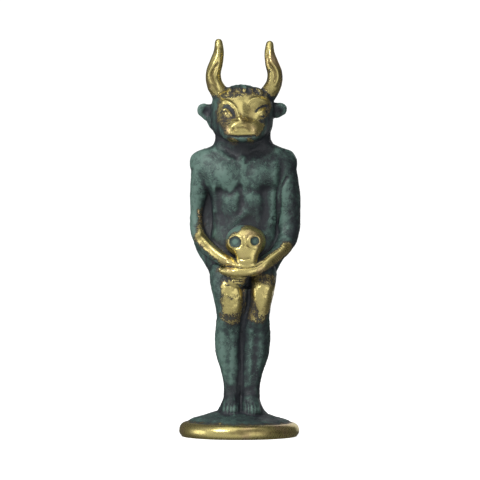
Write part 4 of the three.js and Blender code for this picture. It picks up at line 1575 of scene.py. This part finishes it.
@dataclass(frozen=True)
class PatinatedBrass:
    """Cast brass under a green patina, bare and polished where it is rubbed.

    Attributes:
        green: The patina in the open.
        pale: Its paler patches, partly painted light, and its crests.
        dark: Its hollows, and the patina under painted shade.
        brass: The bare metal.
        tarnish_and_shade: Where the bare metal is tarnished, and where painted shade darkens it.
        blush: Where the bare metal is coppery.
        edge: Where the patina thins out beside the bare metal.
        cloud: Size of the broad patches of the patina, in millimetres.
        mottle: Size of its small patches.
        grain: Size of its grains.
        blotch: Size of the coppery patches.
        thinned: How worn the patina is where it begins to thin, and where it is thinnest.
        bared: How worn it is where the brass begins to show, and where it is bare.
        shining: How worn it is where the brass begins to shine, and where it shines fully.
        darkening: How far a place is darkened by its hollows, the patina's tone and painted shade where the
            darker patina begins, and where it is darkest.
        paling: How pale a place is where the crests and the painted light begin, and where they are palest.
        blushing: How strong the noise is where copper begins to show, and where it shows fully.
        dulling_and_shading: How far the brass is tarnished and under painted shade where its darkening
            begins, and where it is full.
        metallic: How metallic the bare brass is.
        bump: How high the mottle stands in the shading, in metres.
    """

    green: Colour = (0.064, 0.116, 0.100, 1.0)
    pale: Colour = (0.140, 0.240, 0.200, 1.0)
    dark: Colour = (0.026, 0.031, 0.038, 1.0)
    brass: Colour = (0.77, 0.655, 0.26, 1.0)
    tarnish_and_shade: Colour = (0.34, 0.27, 0.11, 1.0)
    blush: Colour = (0.78, 0.54, 0.32, 1.0)
    edge: Colour = (0.070, 0.056, 0.036, 1.0)
    cloud: float = 6.0
    mottle: float = 1.6
    grain: float = 0.45
    blotch: float = 9.0
    thinned: Point = (0.29, 0.45)
    bared: Point = (0.455, 0.52)
    shining: Point = (0.46, 0.53)
    darkening: Point = (-0.45, 0.85)
    paling: Point = (0.05, 0.9)
    blushing: Point = (0.52, 0.72)
    dulling_and_shading: Point = (0.35, 0.85)
    metallic: float = 0.95
    bump: float = 0.0002

    def material(self) -> bpy.types.Material:
        """Returns the finished material."""
        made = bpy.data.materials.new("patinated_brass")
        nodes = Nodes(made)
        place = nodes.add("ShaderNodeTexCoord", {}, {}).outputs["Object"]
        hollow = nodes.attribute("hollow")
        deep = nodes.attribute("deep")
        bare = nodes.attribute("bare")
        cloud = nodes.noise(place, self.cloud)
        mottle = nodes.noise(place, self.mottle, 4.0, 0.6)
        grain = nodes.noise(place, self.grain, 3.0, 0.6)
        # painted shade, and painted light below 0, with some patina tone
        shade = nodes.attribute("shade")
        crevice = (hollow * 1.8).maths("MAXIMUM", -0.05).maths("MINIMUM", 0.16)
        worn = bare + (mottle - 0.5) * 0.4 + (grain - 0.5) * 0.42 - crevice
        metal = worn.step(*self.shining)
        clean = worn.step(*self.bared)
        # the patina darkens with its tone, its hollows and the painted shade
        tone_hollows_and_painted_shade = shade + (cloud - 0.5) * 0.9 + (mottle - 0.5) * 1.5 + (grain - 0.5) * 0.8
        tone_hollows_and_painted_shade = tone_hollows_and_painted_shade + (hollow * 7.0).maths("MINIMUM", 0.45) + deep * 0.8
        darkened_by_hollows_and_shade = tone_hollows_and_painted_shade.step(*self.darkening)
        # paler patina on crests and in the noise, and painted light where the painted shade is below 0
        crest = (0.0 - tone_hollows_and_painted_shade).step(*self.paling)
        green = nodes.mix(crest, self.green, self.pale)
        patina = nodes.mix(darkened_by_hollows_and_shade, green, self.dark)
        warm = nodes.noise(place, self.blotch, 2.0).step(*self.blushing) * 0.8
        # bare brass darkens where it is tarnished, by its noise and hollows, and under painted shade from the
        # shade attribute
        dulled_and_shaded = (cloud * 0.5 + mottle * 0.3 + hollow * 2.0 + shade * 0.35).step(*self.dulling_and_shading)
        bright = nodes.mix(dulled_and_shaded, nodes.mix(warm, self.brass, self.blush), self.tarnish_and_shade)
        thin = nodes.mix(worn.step(*self.thinned), patina, self.edge)
        colour = nodes.mix(clean, thin, bright)
        rough = metal * (-0.2) + (0.48 + (grain - 0.5) * (0.3 - metal * 0.22))
        height = (grain * 0.5 + mottle) * (1.0 - metal * 0.75)
        bump = nodes.add("ShaderNodeBump", {}, {"Strength": 0.6, "Distance": self.bump, "Height": height})
        sockets = {
            "Base Color": colour,
            "Metallic": metal * self.metallic,
            "Roughness": rough,
            "Normal": bump.outputs["Normal"],
        }
        surface = nodes.add("ShaderNodeBsdfPrincipled", {}, sockets)
        nodes.add("ShaderNodeOutputMaterial", {}, {"Surface": surface.outputs["BSDF"]})
        return made


@dataclass(frozen=True)
class Softbox:
    """A square studio light.

    Attributes:
        place: Where it hangs, in metres.
        size: The length of its side.
        glow: How bright its face is, where 1 is white.
    """

    place: Point
    size: float
    glow: float

    def hang(self, name: str, aim: Vector) -> None:
        """Adds the light, turned towards the statue."""
        lamp = bpy.data.lights.new(name, "AREA")
        lamp.size = self.size
        lamp.energy = self.glow * math.pi * self.size**2
        holder = bpy.data.objects.new(name, lamp)
        holder.location = self.place
        holder.rotation_euler = (aim - Vector(self.place)).to_track_quat("-Z", "Y").to_euler()
        bpy.context.scene.collection.objects.link(holder)


SOFTBOXES = {
    "key": Softbox((-0.50, -0.60, 0.55), 0.30, 11.0),
    "top": Softbox((-0.10, -0.30, 1.20), 1.00, 0.7),
    "side": Softbox((-1.20, -0.15, 0.10), 0.50, 1.8),
    "fill": Softbox((0.55, -0.90, 0.05), 0.60, 0.8),
    "back": Softbox((0.30, 1.20, 0.30), 0.80, 0.7),
}


@dataclass(frozen=True)
class Studio:
    """The pale floor, the white surround, the lights and the camera.

    Attributes:
        sight: The photograph's place.
        reach: How far the floor and the surround go, in metres.
        glow: How bright the surround is.
        brightest: Where the light from all round is brightest.
        bright: How bright it is there.
        dim: How bright it is on the far side.
        fade: Where that light is dimmest and brightest, as the cosine from its brightest side.
        aim: Where the lights point, in metres.
    """

    sight: Sight
    reach: float = 4.0
    glow: float = 1.1
    brightest: Point = (-0.36, -0.90, 0.15)
    bright: float = 0.53
    dim: float = 0.08
    fade: Point = (-0.3, 1.0)
    aim: Point = (0.0, 0.0, 0.06)

    def build(self) -> None:
        """Sets up everything round the statue."""
        self.floor()
        self.surround()
        for name, softbox in SOFTBOXES.items():
            softbox.hang(name, Vector(self.aim))
        self.air()
        bpy.context.scene.view_settings.view_transform = "Standard"
        self.camera()

    def air(self) -> None:
        """Adds the light from all round, brightest from the front and the left, and fading behind."""
        world = bpy.data.worlds.new("studio")
        bpy.context.scene.world = world
        nodes = Nodes(world)
        way = nodes.add("ShaderNodeTexCoord", {}, {}).outputs["Generated"]
        aim = Vector(self.brightest).normalized()
        angle = nodes.add("ShaderNodeVectorMath", {"operation": "DOT_PRODUCT"}, {0: way, 1: aim})
        towards = Number(nodes, angle.outputs["Value"])
        glow = towards.step(*self.fade) * (self.bright - self.dim) + self.dim
        air = nodes.add("ShaderNodeBackground", {}, {"Color": (1.0, 1.0, 1.0, 1.0), "Strength": glow})
        nodes.add("ShaderNodeOutputWorld", {}, {"Surface": air.outputs["Background"]})

    def staged(self, name: str, shape: bmesh.types.BMesh, material: bpy.types.Material) -> bpy.types.Object:
        """Adds a thing that isn't part of the statue."""
        mesh = bpy.data.meshes.new(name)
        shape.to_mesh(mesh)
        shape.free()
        mesh.materials.append(material)
        thing = bpy.data.objects.new(name, mesh)
        bpy.context.scene.collection.objects.link(thing)
        return thing

    def plain(self, name: str, colour: float, glow: float) -> bpy.types.Material:
        """Returns a matt material that also glows."""
        made = bpy.data.materials.new(name)
        nodes = Nodes(made)
        sockets = {
            "Base Color": (colour, colour, colour, 1.0),
            "Roughness": 0.9,
            "Emission Color": (1.0, 1.0, 1.0, 1.0),
            "Emission Strength": glow,
        }
        surface = nodes.add("ShaderNodeBsdfPrincipled", {}, sockets)
        nodes.add("ShaderNodeOutputMaterial", {}, {"Surface": surface.outputs["BSDF"]})
        return made

    def floor(self) -> None:
        """Adds the pale floor."""
        shape = bmesh.new()
        bmesh.ops.create_circle(shape, cap_ends=True, segments=96, radius=self.reach)
        floor = self.staged("floor", shape, self.plain("pale_floor", 0.85, 0.9))
        floor.visible_diffuse = False
        floor.visible_glossy = False
        floor.visible_shadow = False

    def surround(self) -> None:
        """Adds the white surround, which only the camera sees."""
        shape = bmesh.new()
        bmesh.ops.create_uvsphere(shape, u_segments=48, v_segments=24, radius=self.reach)
        dome = self.staged("surround", shape, self.plain("white_surround", 0.0, self.glow))
        dome.visible_diffuse = False
        dome.visible_glossy = False
        dome.visible_transmission = False
        dome.visible_shadow = False

    def camera(self) -> None:
        """Adds the camera at the photograph's place."""
        lens = bpy.data.cameras.new("camera")
        lens.lens = self.sight.lens
        lens.sensor_width = self.sight.film
        holder = bpy.data.objects.new("camera", lens)
        place = (self.sight.aside, -self.sight.distance, self.sight.height)
        holder.location = [value / MILLIMETRES_IN_METRE for value in place]
        holder.rotation_euler = (math.pi / 2, 0.0, 0.0)
        bpy.context.scene.collection.objects.link(holder)
        bpy.context.scene.camera = holder


def main() -> None:
    """Builds and dresses the statue, and sets it in the studio."""
    logging.basicConfig(level=logging.INFO, format="%(message)s")
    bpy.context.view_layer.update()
    sight = Sight()
    piece = Casting(sight).build()
    piece.data.materials.append(PatinatedBrass().material())
    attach(piece, BODY)
    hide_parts(NODE)
    LOG.info("%s: %d faces", piece.name, len(piece.data.polygons))
    Studio(sight).build()


if __name__ == "__main__":
    main()
